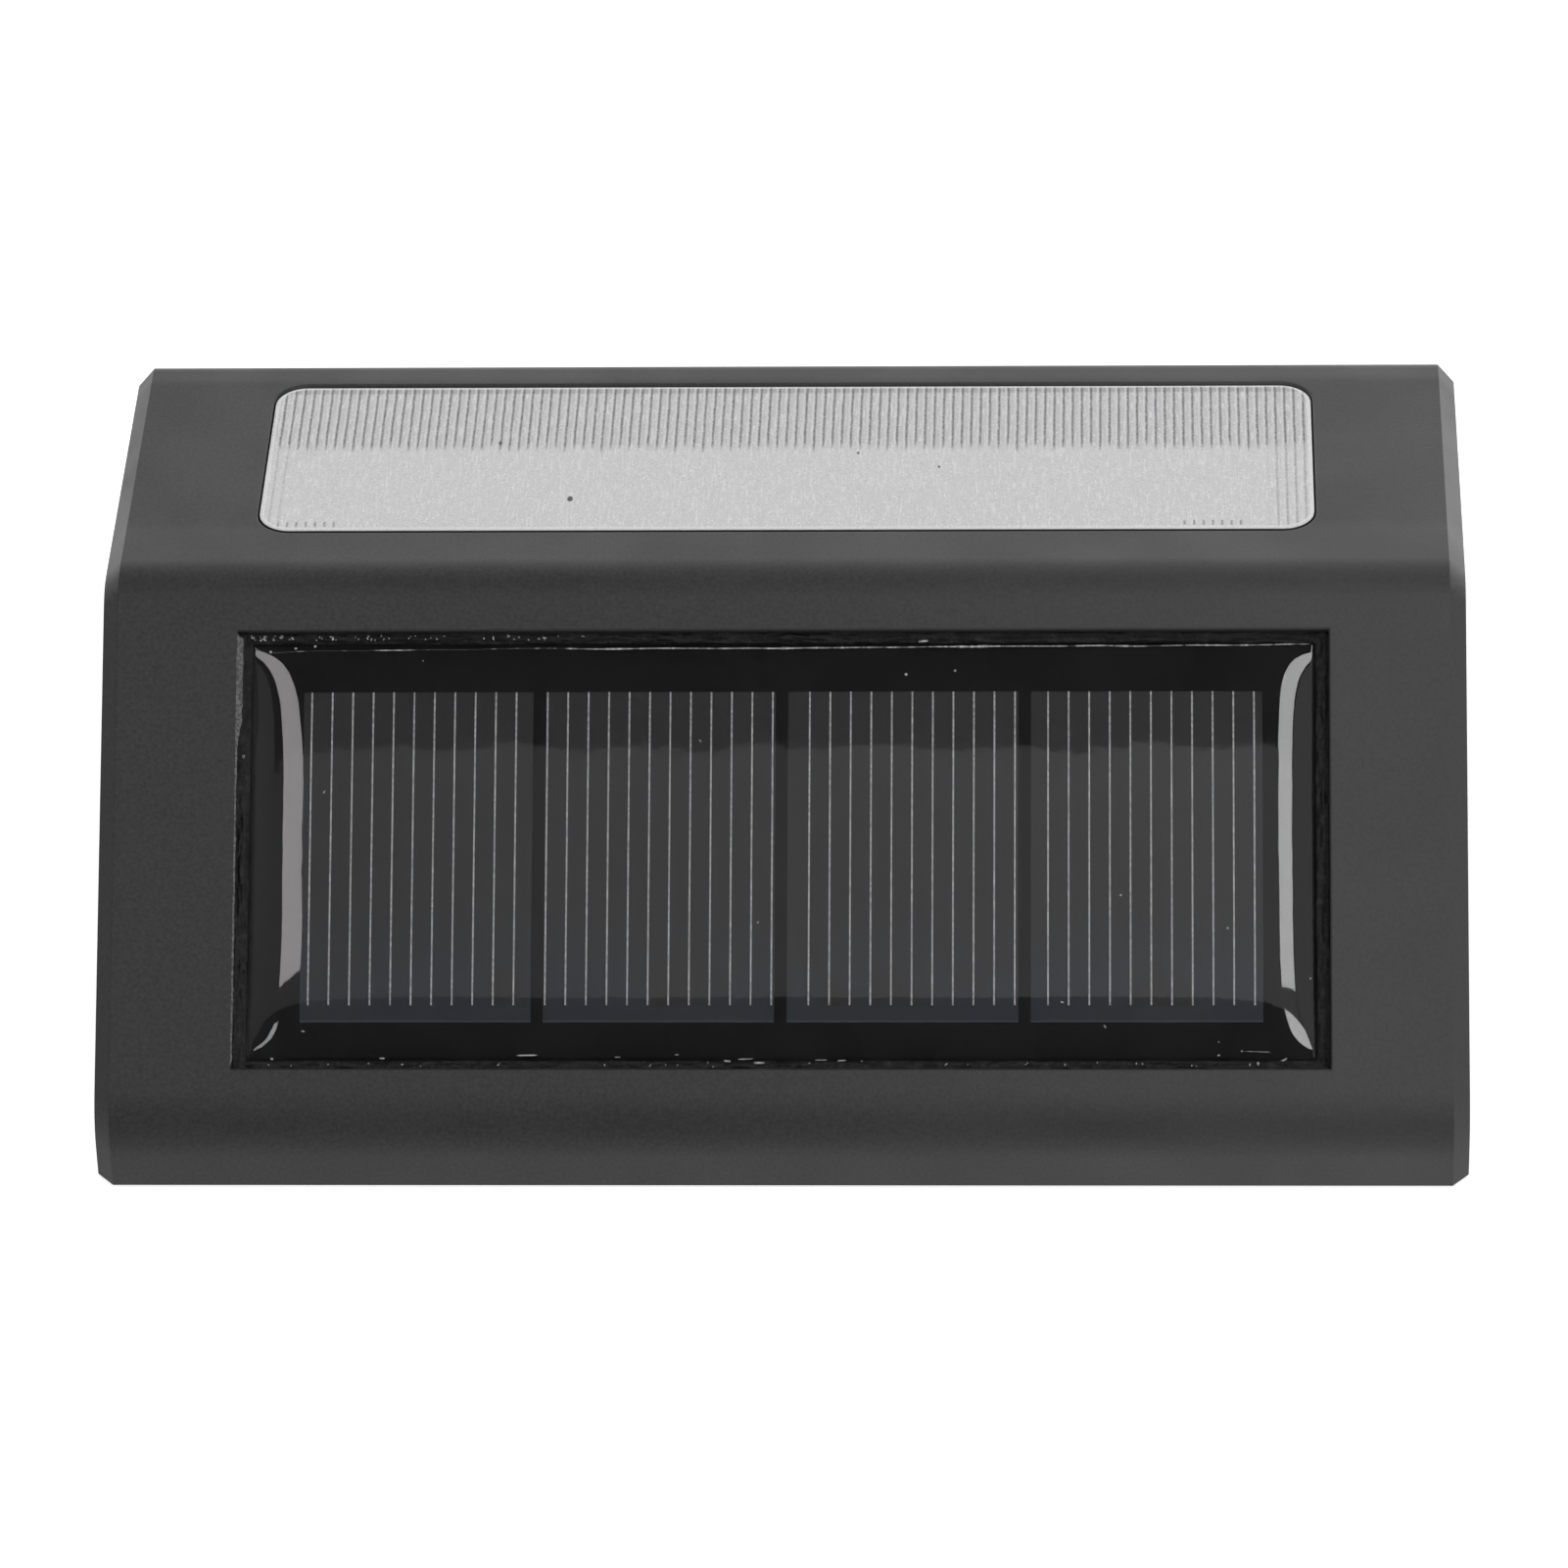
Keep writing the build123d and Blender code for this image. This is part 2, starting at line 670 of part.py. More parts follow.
# Slide switch: a small case on the cover's inside, three terminals, and the moving lever.
with BuildPart() as switch_case:
    with BuildSketch(wall_plane(cover_thickness)):
        with Locations((0, switch_z)):
            Rectangle(switch_case_length, switch_case_width)
    extrude(amount=switch_case_depth)
    with BuildSketch(wall_plane(switch_cavity_level)):
        with Locations((0, switch_z)):
            Rectangle(switch_cavity_length, switch_cavity_width)
    extrude(amount=switch_cavity_depth, mode=Mode.SUBTRACT)
    with BuildSketch(wall_plane(cover_thickness)):
        with Locations((0, switch_z)):
            Rectangle(stem_slot_length, stem_slot_width)
    extrude(amount=switch_shell, mode=Mode.SUBTRACT)
switch_case.part.label = "switch_case"
export_step(switch_case.part, "parts/switch_case.step")

terminal_spots = [
    (terminal_pitch * (terminal - (terminal_count - 1) / 2), switch_z) for terminal in range(terminal_count)
]
with BuildPart() as switch_terminals:
    with BuildSketch(wall_plane(cover_thickness + switch_case_depth)):
        with Locations(*terminal_spots):
            Rectangle(terminal_width, terminal_thickness)
    extrude(amount=terminal_length)
switch_terminals.part.label = "switch_terminals"
export_step(switch_terminals.part, "parts/switch_terminals.step")

with BuildPart() as switch_lever:
    with BuildSketch(wall_plane(switch_cavity_level + switch_clearance)):
        with Locations((stem_x, switch_z)):
            Rectangle(slider_length, slider_width)
    extrude(amount=slider_thickness)
    with BuildSketch(wall_plane(stem_recess)):
        with Locations((stem_x, switch_z)):
            Rectangle(stem_length, stem_width)
    extrude(amount=switch_cavity_level + switch_clearance - stem_recess)
    stem_tip = switch_lever.faces().filter_by(Axis.Y).sort_by(Axis.Y)[-1]
    fillet(stem_tip.edges(), radius=switch_clearance)
switch_lever.part.label = "switch_lever"
export_step(switch_lever.part, "parts/switch_lever.step")

# Battery cradle on foam tape, open to the front.
cradle_side = cradle_floor + cradle_side_height
with BuildPart() as foam_tape:
    with BuildSketch(wall_plane(cover_thickness)):
        with Locations((cradle_middle_x, battery_z)):
            Rectangle(cradle_inner_length - foam_tape_margin, cradle_inner_width - foam_tape_margin)
    extrude(amount=foam_tape_thickness)
foam_tape.part.label = "foam_tape"
export_step(foam_tape.part, "parts/foam_tape.step")

with BuildPart() as battery_cradle:
    with BuildSketch(wall_plane(cradle_level)):
        with Locations((cradle_middle_x, battery_z)):
            Rectangle(cradle_inner_length + 2 * cradle_wall, cradle_inner_width + 2 * cradle_wall)
    extrude(amount=cradle_side)
    with BuildSketch(wall_plane(cradle_level + cradle_floor)):
        with Locations((cradle_middle_x, battery_z)):
            Rectangle(cradle_inner_length, cradle_inner_width)
    extrude(amount=cradle_side_height, mode=Mode.SUBTRACT)
battery_cradle.part.label = "battery_cradle"
export_step(battery_cradle.part, "parts/battery_cradle.step")

# The cell: a steel can with its button, in a shrink sleeve.
battery_plane = Plane(origin=(cell_negative_x, -battery_depth, battery_z), z_dir=(1, 0, 0))
with BuildPart() as battery_can:
    with BuildSketch(battery_plane):
        Circle(cell_can_radius)
    extrude(amount=cell_can_length)
    with BuildSketch(battery_plane):
        Circle(cell_button_radius)
    extrude(amount=cell_can_length + cell_button_length)
battery_can.part.label = "battery_can"
export_step(battery_can.part, "parts/battery_can.step")

with BuildPart() as battery_sleeve:
    with BuildSketch(battery_plane):
        Circle(sleeve_radius)
        Circle(cell_can_radius, mode=Mode.SUBTRACT)
    extrude(amount=cell_can_length)
battery_sleeve.part.label = "battery_sleeve"
export_step(battery_sleeve.part, "parts/battery_sleeve.step")

# Contacts: a flat plate at the button, a folded leaf spring at the other end.
contact_plane = Plane.XY.offset(battery_z - contact_width / 2)
with BuildPart() as positive_contact:
    with BuildSketch(wall_plane(cradle_level + cradle_floor)):
        with Locations((cell_button_x + contact_thickness / 2, battery_z)):
            Rectangle(contact_thickness, contact_width)
    extrude(amount=cradle_side_height + contact_tab)
positive_contact.part.label = "positive_contact"
export_step(positive_contact.part, "parts/positive_contact.step")

with BuildPart() as negative_contact:
    with BuildSketch(contact_plane):
        with BuildLine():
            leaf = Polyline(
                (cradle_left, -contact_top),
                (cradle_left, -cradle_level - cradle_floor),
                (cradle_left + contact_thickness, -cradle_level - cradle_floor),
                (cell_negative_x, -battery_depth + contact_thickness),
                (cell_negative_x, -battery_depth - contact_thickness),
                (cell_negative_x - contact_thickness, -battery_depth - contact_thickness),
                (cell_negative_x - contact_thickness, -battery_depth + contact_thickness),
                (cradle_left + contact_thickness, -cradle_level - cradle_floor - 3 * contact_thickness),
                (cradle_left + contact_thickness, -contact_top),
                close=True,
            )
        make_face()
    extrude(amount=contact_width)
negative_contact.part.label = "negative_contact"
export_step(negative_contact.part, "parts/negative_contact.step")

# Control board on two standoffs, with the parts that charge the cell and drive the LEDs.
with BuildPart() as control_board:
    with BuildSketch(wall_plane(control_level)):
        with Locations((control_x, control_z)):
            Rectangle(control_length, control_width)
        with Locations(*control_screw_spots):
            Circle(small_screw_radius + hole_clearance, mode=Mode.SUBTRACT)
    extrude(amount=circuit_board_thickness)
control_board.part.label = "control_board"
export_step(control_board.part, "parts/control_board.step")

board_screws = small_screws(control_screw_spots, control_face, -1)
board_screws.label = "board_screws"
export_step(board_screws, "parts/board_screws.step")

with BuildPart() as driver_chip:
    with BuildSketch(wall_plane(control_face)):
        with Locations((control_x - chip_length / 2, control_z - chip_width / 2)):
            Rectangle(chip_length, chip_width)
    extrude(amount=chip_height)
driver_chip.part.label = "driver_chip"
export_step(driver_chip.part, "parts/driver_chip.step")

inductor_spot = (control_x + chip_length + inductor_radius, control_z - inductor_radius)
with BuildPart() as inductor:
    with BuildSketch(wall_plane(control_face)):
        with Locations(inductor_spot):
            Circle(inductor_radius)
    extrude(amount=inductor_height)
    with BuildSketch(wall_plane(control_face + inductor_flange)):
        with Locations(inductor_spot):
            Circle(inductor_radius)
            Circle(inductor_waist_radius, mode=Mode.SUBTRACT)
    extrude(amount=inductor_height - 2 * inductor_flange, mode=Mode.SUBTRACT)
inductor.part.label = "inductor"
export_step(inductor.part, "parts/inductor.step")

with BuildPart() as capacitor:
    with BuildSketch(wall_plane(control_face)):
        with Locations((control_x + chip_length / 2, control_z + capacitor_radius)):
            Circle(capacitor_radius)
    extrude(amount=capacitor_height)
    capacitor_top = capacitor.faces().filter_by(Axis.Y).sort_by(Axis.Y)[0]
    fillet(capacitor_top.edges(), radius=capacitor_edge_radius)
capacitor.part.label = "capacitor"
export_step(capacitor.part, "parts/capacitor.step")


# Bend radii of a wire: as large as the shorter of the two runs at each corner allows.
def bend_radii(points):
    corners = [Vector(*point) for point in points]
    radii = []
    for before, corner, after in zip(corners, corners[1:], corners[2:]):
        turn = (corner - before).get_angle(after - corner)
        shorter = min((corner - before).length, (after - corner).length)
        radii.append(wire_bend_share * shorter / tan(radians(turn) / 2))
    return radii


# An insulated wire along straight runs joined by tangent arcs.
def insulated_wire(name, points):
    with BuildPart() as wire:
        with BuildLine() as route:
            FilletPolyline(*points, radius=bend_radii(points))
        with BuildSketch(Plane(origin=route.line @ 0, z_dir=route.line % 0)):
            Circle(wire_radius)
        sweep()
    wire.part.label = name
    export_step(wire.part, f"parts/{name}.step")


# A point under the solar panel, in the frame of the whole light.
def under_panel(x, level):
    return tuple(slope_plane.from_local_coords(Vector(x, 0, level)))


pad_row = control_z + control_width / 2 - pad_inset
pad_column = control_x - control_length / 2 + pad_inset
wire_turn = -control_face - pad_lift
for name, side, pad in zip(("panel_wire_red", "panel_wire_black"), (-1, 1), panel_pads_x):
    start_x, pad_x = panel_hole_x + side * panel_wire_spacing / 2, control_x + pad
    insulated_wire(
        name,
        [
            under_panel(start_x, panel_underside),
            under_panel(start_x, panel_underside - 7),
            (start_x, -14.5, 0),
            (pad_x, wire_turn, pad_row),
            (pad_x, -control_face, pad_row),
        ],
    )

led_board_rear = circuit_board_thickness - led_board_depth
for name, side, pad in zip(("led_wire_red", "led_wire_black"), (1, -1), led_pads_x):
    start_z, pad_x = window_z + side * led_wire_spacing / 2, control_x + pad
    insulated_wire(
        name,
        [
            (pad_x - 6, led_board_rear, start_z),
            (pad_x - 6, led_board_rear + 6, start_z),
            (pad_x - 2, wire_turn - 4.5, start_z + 6),
            (pad_x, wire_turn, pad_row),
            (pad_x, -control_face, pad_row),
        ],
    )

contact_wire = contact_wire_inset - contact_top
positive_pad, negative_pad = [battery_z + pad for pad in battery_pads_z]
insulated_wire(
    "battery_wire_red",
    [
        (cradle_right, contact_wire, battery_z),
        (cradle_right + 4, contact_wire, battery_z),
        (pad_column - 3, wire_turn - 1.5, battery_z - 1.5),
        (pad_column, wire_turn, positive_pad),
        (pad_column, -control_face, positive_pad),
    ],
)
insulated_wire(
    "battery_wire_black",
    [
        (cradle_left, contact_wire, battery_z),
        (cradle_left - 4, contact_wire, battery_z),
        (cradle_left - 5, contact_wire + 1.5, battery_z + 8),
        (cradle_left, contact_wire + 3.5, battery_z + 12),
        (cradle_left + 30, contact_wire + 4.5, battery_z + 12.5),
        (cradle_right + 3, contact_wire + 3.5, battery_z + 11.5),
        (pad_column - 3, wire_turn - 0.5, battery_z + 7),
        (pad_column, wire_turn, negative_pad),
        (pad_column, -control_face, negative_pad),
    ],
)

terminal_tip = -cover_thickness - switch_case_depth - terminal_length
for name, (start_x, start_z), pad in zip(
    ("switch_wire_1", "switch_wire_2"), terminal_spots[1:], switch_pads_x
):
    pad_x = control_x + pad
    insulated_wire(
        name,
        [
            (start_x, terminal_tip, start_z),
            (start_x, terminal_tip - 2.5, start_z - 0.5),
            (start_x + 5, terminal_tip - 1.5, start_z - 7),
            (pad_x - 6, terminal_tip, pad_row + 8),
            (pad_x, wire_turn, pad_row),
            (pad_x, -control_face, pad_row),
        ],
    )
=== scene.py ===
import json
import math

import bpy
import bmesh
import numpy as np
from mathutils import Matrix, Vector

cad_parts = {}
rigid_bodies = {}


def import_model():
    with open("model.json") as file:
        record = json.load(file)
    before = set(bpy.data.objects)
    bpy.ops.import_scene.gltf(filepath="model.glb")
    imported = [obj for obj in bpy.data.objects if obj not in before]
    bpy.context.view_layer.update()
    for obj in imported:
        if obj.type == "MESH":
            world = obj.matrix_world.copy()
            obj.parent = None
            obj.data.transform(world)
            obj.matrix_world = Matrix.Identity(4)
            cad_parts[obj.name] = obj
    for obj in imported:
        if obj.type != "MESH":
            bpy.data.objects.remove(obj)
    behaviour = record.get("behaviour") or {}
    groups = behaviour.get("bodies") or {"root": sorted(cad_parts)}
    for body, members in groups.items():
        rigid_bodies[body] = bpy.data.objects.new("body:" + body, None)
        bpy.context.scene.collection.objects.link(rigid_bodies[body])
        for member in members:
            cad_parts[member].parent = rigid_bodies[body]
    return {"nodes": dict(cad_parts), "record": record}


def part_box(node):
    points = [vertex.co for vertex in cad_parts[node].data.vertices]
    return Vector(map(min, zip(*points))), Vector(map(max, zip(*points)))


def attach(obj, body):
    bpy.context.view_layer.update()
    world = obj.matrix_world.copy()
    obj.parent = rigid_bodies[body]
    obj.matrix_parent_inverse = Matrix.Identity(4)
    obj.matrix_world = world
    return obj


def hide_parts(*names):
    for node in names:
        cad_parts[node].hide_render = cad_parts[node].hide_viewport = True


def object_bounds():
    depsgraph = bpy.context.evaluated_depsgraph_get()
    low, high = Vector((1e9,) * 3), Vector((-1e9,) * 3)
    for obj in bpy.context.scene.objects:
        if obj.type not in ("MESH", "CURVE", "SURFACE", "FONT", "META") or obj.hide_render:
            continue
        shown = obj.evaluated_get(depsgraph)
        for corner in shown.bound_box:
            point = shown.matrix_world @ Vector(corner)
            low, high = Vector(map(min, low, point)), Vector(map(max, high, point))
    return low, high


for leftover in list(bpy.data.objects):
    bpy.data.objects.remove(leftover)

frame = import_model()
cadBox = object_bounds()
mm = 0.001
nodes = frame["nodes"]


# A new object from points and one or more arrays of faces.
def makeObject(name, points, *faceArrays, smooth=True):
    mesh = bpy.data.meshes.new(name)
    faces = sum((array.tolist() for array in faceArrays), [])
    mesh.from_pydata(points.reshape(-1, 3).tolist(), [], faces, shade_flat=not smooth)
    piece = bpy.data.objects.new(name, mesh)
    bpy.context.scene.collection.objects.link(piece)
    return piece


# Quads between neighbouring rows and columns of a grid, wrapped round where it is closed.
def gridFaces(rows, columns, closedRows=False, closedColumns=False, start=0):
    r = np.arange(rows if closedRows else rows - 1)[:, None]
    c = np.arange(columns if closedColumns else columns - 1)[None, :]
    nextR, nextC = (r + 1) % rows, (c + 1) % columns
    corners = (r * columns + c, nextR * columns + c, nextR * columns + nextC, r * columns + nextC)
    return np.stack(np.broadcast_arrays(*corners), -1).reshape(-1, 4) + start


# Merges doubles, joins faces that lie flat within an angle, and turns all faces outwards.
def closeUp(piece, distance=1e-6, flat=0):
    bm = bmesh.new()
    bm.from_mesh(piece.data)
    bmesh.ops.remove_doubles(bm, verts=bm.verts, dist=distance)
    if flat:
        bmesh.ops.dissolve_limit(bm, angle_limit=flat, verts=bm.verts, edges=bm.edges)
    bmesh.ops.recalc_face_normals(bm, faces=bm.faces)
    print(piece.name, len(bm.faces), "faces", sum(not edge.is_manifold for edge in bm.edges), "open edges")
    bm.to_mesh(piece.data)
    bm.free()
    return piece


# Random values on a ring or a sheet. Along each axis they are averaged with their neighbours under
# a bell curve, `spread` steps wide, and then scaled to stay between about -1 and 1.
def smoothNoise(random, shape, spread):
    values = random.standard_normal(shape)
    for axis, width in enumerate(spread):
        if width:
            steps = np.arange(-3 * width, 3 * width + 1)
            weights = np.exp(-0.5 * (steps / width) ** 2)
            values = sum(w * np.roll(values, int(s), axis) for s, w in zip(steps, weights))
    return values / (2 * values.std())


# An sRGB hex colour as linear RGBA.
def linear(code):
    parts = [int(code[i:i + 2], 16) / 255 for i in (1, 3, 5)]
    return tuple(p / 12.92 if p <= 0.04045 else ((p + 0.055) / 1.055) ** 2.4 for p in parts) + (1,)


# Adds a shader node and gives its first output in use. Inputs map a socket to a value, or to
# another node's output.
def addNode(tree, kind, inputs=None, **settings):
    made = tree.nodes.new("ShaderNode" + kind)
    for key, value in settings.items():
        setattr(made, key, value)
    for key, value in (inputs or {}).items():
        if isinstance(value, bpy.types.NodeSocket):
            tree.links.new(value, made.inputs[key])
        else:
            made.inputs[key].default_value = value
    return next((output for output in made.outputs if output.enabled), None)


# Ranges are written as a Map Range node's sockets: 1 and 2 are the values that it goes from and to,
# 3 and 4 what it gives there, which is 0 and 1 where they are left out. Lengths are in mm.
smooth = {"interpolation_type": "SMOOTHSTEP"}


# A material whose shader is built by the function `build`, from its node tree and the values.
def newMaterial(name, build, *values):
    material = bpy.data.materials.new(name)
    material.use_nodes = True
    material.node_tree.nodes.clear()
    addNode(material.node_tree, "OutputMaterial", {0: build(material.node_tree, *values)})
    return material


# Object coordinates in millimetres.
def inMillimetres(tree, stretch=(1, 1, 1)):
    place = addNode(tree, "TexCoord").node.outputs["Object"]
    return addNode(tree, "Mapping", {"Vector": place, "Scale": tuple(s / mm for s in stretch)})


# What the plain finishes share: how much of the grain shows in the colour, and where the mixture of
# noises goes from one colour to the other.
plain = {"speckle": 0.35, "colours": {1: 0.45, 2: 1.0}, "calm": 0.3, "rough": 0.7}


# A moulded, plated or painted surface: two close colours in soft patches `patch` mm wide, a grain
# `grain` mm across and `relief` mm high, and roughness that varies with the patches.
def plainFinish(tree, first, second, patch, grain, relief, rough, metallic=0, stretch=(1, 1, 1),
                specular=0.5):
    place = inMillimetres(tree, stretch)
    patches = addNode(tree, "TexNoise", {"Vector": place, "Scale": 1 / patch, "Detail": 3})
    fine = addNode(tree, "TexNoise", {"Vector": place, "Scale": 1 / grain, "Detail": 2})
    both = addNode(tree, "Math", {0: fine, 1: plain["speckle"], 2: patches}, operation="MULTIPLY_ADD")
    mixed = addNode(tree, "MapRange", {0: both, **plain["colours"]}, **smooth)
    colour = addNode(tree, "Mix", {0: mixed, 6: linear(first), 7: linear(second)}, data_type="RGBA")
    roughness = {0: patches, 1: plain["calm"], 2: plain["rough"], 3: rough[0], 4: rough[1]}
    return addNode(tree, "BsdfPrincipled", {
        "Base Color": colour, "Metallic": metallic, "Specular IOR Level": specular,
        "Roughness": addNode(tree, "MapRange", roughness, **smooth),
        "Normal": addNode(tree, "Bump", {"Height": fine, "Strength": 1, "Distance": relief * mm}),
    })


# slot: name, two colours, patch, grain, relief, roughness, metallic, stretch, specular
finishes = {
    # ABS from a spark-eroded mould: an even, satin-matt charcoal
    "cover_plastic": ("moulded_abs_cover", "#29292a", "#2e2e2f", 9, 0.22, 0.006, (0.52, 0.6)),
    # ABS from a polished mould: clean white with soft reflections
    "white_plastic": ("reflector_abs_white", "#e6e6e3", "#efefec", 8, 0.5, 0.002, (0.3, 0.38)),
    # black ABS, a little shinier than the cover
    "cradle_plastic": ("moulded_abs_black", "#26272a", "#2c2d30", 7, 0.25, 0.005, (0.45, 0.55)),
    # acetal: black and slightly waxy
    "lever_plastic": ("acetal_black", "#1e1e20", "#262628", 3, 0.15, 0.003, (0.35, 0.45)),
    # epoxy moulded round a chip: dull, with a dusty grain
    "chip_plastic": ("epoxy_package", "#202022", "#29292b", 1.5, 0.08, 0.002, (0.5, 0.6)),
    # zinc-plated steel: bright grey with soft blotches
    "screw_steel": ("zinc_plated_steel", "#b9bab8", "#c9cac8", 2, 0.12, 0.002, (0.28, 0.42), 1),
    # nickelled, deep-drawn steel: warm grey with faint drawing lines along the can
    "can_steel": ("nickelled_steel_can", "#bdbcb8", "#cbcac6", 5, 0.1, 0.001, (0.22, 0.34), 1, (0.1, 1, 1)),
    # nickelled spring steel: a little yellower and brighter
    "contact_nickel": ("nickelled_spring_steel", "#b8b5aa", "#c6c3b8", 3, 0.1, 0.001, (0.25, 0.36), 1),
    # tinned sheet steel: pale and rather matt
    "switch_shell": ("tinned_steel_shell", "#a6a7a8", "#b4b5b6", 2, 0.15, 0.002, (0.3, 0.42), 1),
    # stamped brass: plain yellow metal
    "terminal_brass": ("brass_terminal", "#b4915a", "#c4a168", 2, 0.1, 0.001, (0.28, 0.38), 1),
    # solder mask over woven glass: glossy, with a faint weave
    "white_board": ("solder_mask_white", "#dfe1df", "#e9ebe9", 4, 0.4, 0.004, (0.3, 0.36)),
    "green_board": ("solder_mask_green", "#1f5c38", "#266a42", 4, 0.4, 0.004, (0.28, 0.34)),
    "black_board": ("solder_mask_black", "#070708", "#0b0b0c", 5, 0.4, 0.003, (0.3, 0.4), 0, (1, 1, 1), 0.1),
    # silicone with phosphor in it: opaque yellow
    "led_package": ("led_phosphor", "#e2c45c", "#eacf6c", 1, 0.1, 0.003, (0.4, 0.5)),
    # sponge rubber: dull, with open pores
    "seal_rubber": ("sponge_rubber", "#2c2c2d", "#343435", 2, 0.3, 0.02, (0.75, 0.85)),
    # polyethylene foam: dull grey with coarse cells
    "foam": ("pe_foam_tape", "#7c7c7a", "#8b8b88", 1.5, 0.25, 0.03, (0.8, 0.9)),
    # shrink film: glossy green with a slight orange peel
    "sleeve_film": ("shrink_film_green", "#2e7040", "#34794a", 8, 1.2, 0.004, (0.22, 0.28)),
    # pressed and sintered ferrite: dark grey and stony
    "ferrite": ("sintered_ferrite", "#3a3b3d", "#464749", 1, 0.12, 0.004, (0.55, 0.7)),
    # shrunk polyester film: glossy navy
    "capacitor_sleeve": ("pet_sleeve_navy", "#232b42", "#29324b", 3, 0.3, 0.002, (0.25, 0.32)),
    # extruded PVC: smooth with a soft shine
    "red_wire": ("pvc_insulation_red", "#a8281f", "#b43228", 4, 0.3, 0.003, (0.38, 0.46)),
    "black_wire": ("pvc_insulation_black", "#1f1f20", "#28282a", 4, 0.3, 0.003, (0.38, 0.46)),
}
materials = {key: newMaterial(name, plainFinish, *values) for key, (name, *values) in finishes.items()}

# the housing: ABS from a spark-eroded mould, satin matt, its grain about 0.3 mm across. The far and
# near edges and one side are painted a little paler and shinier: painted light, where the real one looks more
# lit.
housing = {
    "dark": "#242425", "light": "#373738", "paintedLightTone": "#48484a",
    "patches": 0.11, "grains": 3.2, "grainRoughness": 0.6, "patchShare": 0.25, "relief": 0.012 * mm,
    "colours": {1: 0.3, 2: 0.95}, "roughness": {1: 0.3, 2: 0.7, 3: 0.5, 4: 0.58},
    "farEdge": {1: -30.4, 2: -32.2, 4: 0.55}, "side": {1: 25, 2: -56, 4: 0.34},
    "nearEdge": {1: -8.5, 2: -6.5, 4: 0.24}, "nearEnd": {1: -2.2, 2: -0.6, 3: 1, 4: 0},
    "specular": 0.49, "paintedLightSpecular": 0.2,
}


def mouldedHousing(tree):
    place = inMillimetres(tree)
    x, y, z = addNode(tree, "SeparateXYZ", {0: place}).node.outputs
    patches = addNode(tree, "TexNoise", {"Vector": place, "Scale": housing["patches"], "Detail": 3})
    fine = addNode(tree, "TexNoise", {
        "Vector": place, "Scale": housing["grains"], "Detail": 2, "Roughness": housing["grainRoughness"],
    })
    both = addNode(tree, "Math", {0: patches, 1: housing["patchShare"], 2: fine}, operation="MULTIPLY_ADD")
    mixed = addNode(tree, "MapRange", {0: both, **housing["colours"]}, **smooth)
    dark, light, paintedLightTone = (linear(housing[key]) for key in ("dark", "light", "paintedLightTone"))
    grained = addNode(tree, "Mix", {0: mixed, 6: dark, 7: light}, data_type="RGBA")
    # painted light: towards the far and near edges and to one side the colour goes paler and the shine rises
    far = addNode(tree, "MapRange", {0: z, **housing["farEdge"]}, **smooth)
    rising = addNode(tree, "MapRange", {0: z, **housing["nearEdge"]}, **smooth)
    falling = addNode(tree, "MapRange", {0: z, **housing["nearEnd"]}, **smooth)
    edges = addNode(tree, "Math", {0: rising, 1: falling, 2: far}, operation="MULTIPLY_ADD")
    side = addNode(tree, "MapRange", {0: x, **housing["side"]}, **smooth)
    paler = addNode(tree, "Math", {0: edges, 1: side}, operation="ADD")
    shine = {0: paler, 1: housing["paintedLightSpecular"], 2: housing["specular"]}
    return addNode(tree, "BsdfPrincipled", {
        "Base Color": addNode(tree, "Mix", {0: paler, 6: grained, 7: paintedLightTone}, data_type="RGBA"),
        "Roughness": addNode(tree, "MapRange", {0: patches, **housing["roughness"]}, **smooth),
        "Specular IOR Level": addNode(tree, "Math", shine, operation="MULTIPLY_ADD"),
        "Normal": addNode(tree, "Bump", {"Height": fine, "Strength": 1, "Distance": housing["relief"]}),
    })


materials["housing_plastic"] = newMaterial("moulded_abs_charcoal", mouldedHousing)

# where the sloping panel is, taken from the carrier board's box; levels are from the sloping face
slopeAngle = math.radians(45)
boardLow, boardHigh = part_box("panel_board")
panel = {
    "boardMiddle": -2.4 * mm, "boardTop": -1.9 * mm,
    "width": boardHigh.x - boardLow.x, "length": 37.0 * mm,
    "pocketWidth": 95.8 * mm, "pocketLength": 38.8 * mm, "pocketDepth": 3.2 * mm,
}
upSlope = np.array((0, math.sin(slopeAngle), math.cos(slopeAngle)))
outOfSlope = np.array((0, -math.cos(slopeAngle), math.sin(slopeAngle)))
slopeOrigin = np.array((boardLow + boardHigh) / 2) - outOfSlope * panel["boardMiddle"]


# Points on the slope: its middle, plus x across, y up the slope and the level out of it.
def onSlope(x, y, level):
    x, y, level = (values[..., None] for values in np.broadcast_arrays(x, y, level))
    return slopeOrigin + x * np.array((1, 0, 0)) + y * upSlope + level * outOfSlope


# The same coordinates in mm, for a material.
def slopeCoordinates(tree):
    place = addNode(tree, "TexCoord").node.outputs["Object"]
    moved = addNode(tree, "Mapping", {"Vector": place, "Location": tuple(-slopeOrigin)})
    turned = addNode(tree, "Mapping", {"Vector": moved, "Rotation": (slopeAngle - math.pi / 2, 0, 0)})
    return addNode(tree, "Mapping", {"Vector": turned, "Scale": (1 / mm, 1 / mm, 1 / mm)})


# solar cells: dark silicon under a blue anti-reflection coat. The blue shows in soft patches low on
# the cells and along the strip without fingers, and the low edge is pale.
silicon = {
    "dark": "#151516", "light": "#1b1b1c", "blue": "#171f2a", "edge": "#32363d",
    "clouds": 0.12, "grains": 2.5, "grainShare": 0.5, "colours": {1: 0.5, 2: 1.0},
    "bluePatches": {1: 0.36, 2: 0.54}, "blueLow": {1: 4, 2: 14, 4: 0.9}, "strip": {1: 13.6, 2: 13.9, 4: 0.75},
    "lowEdge": {1: 14.85, 2: 15.05}, "roughness": {1: 0.3, 2: 0.7, 3: 0.42, 4: 0.55}, "specular": 0.3,
}


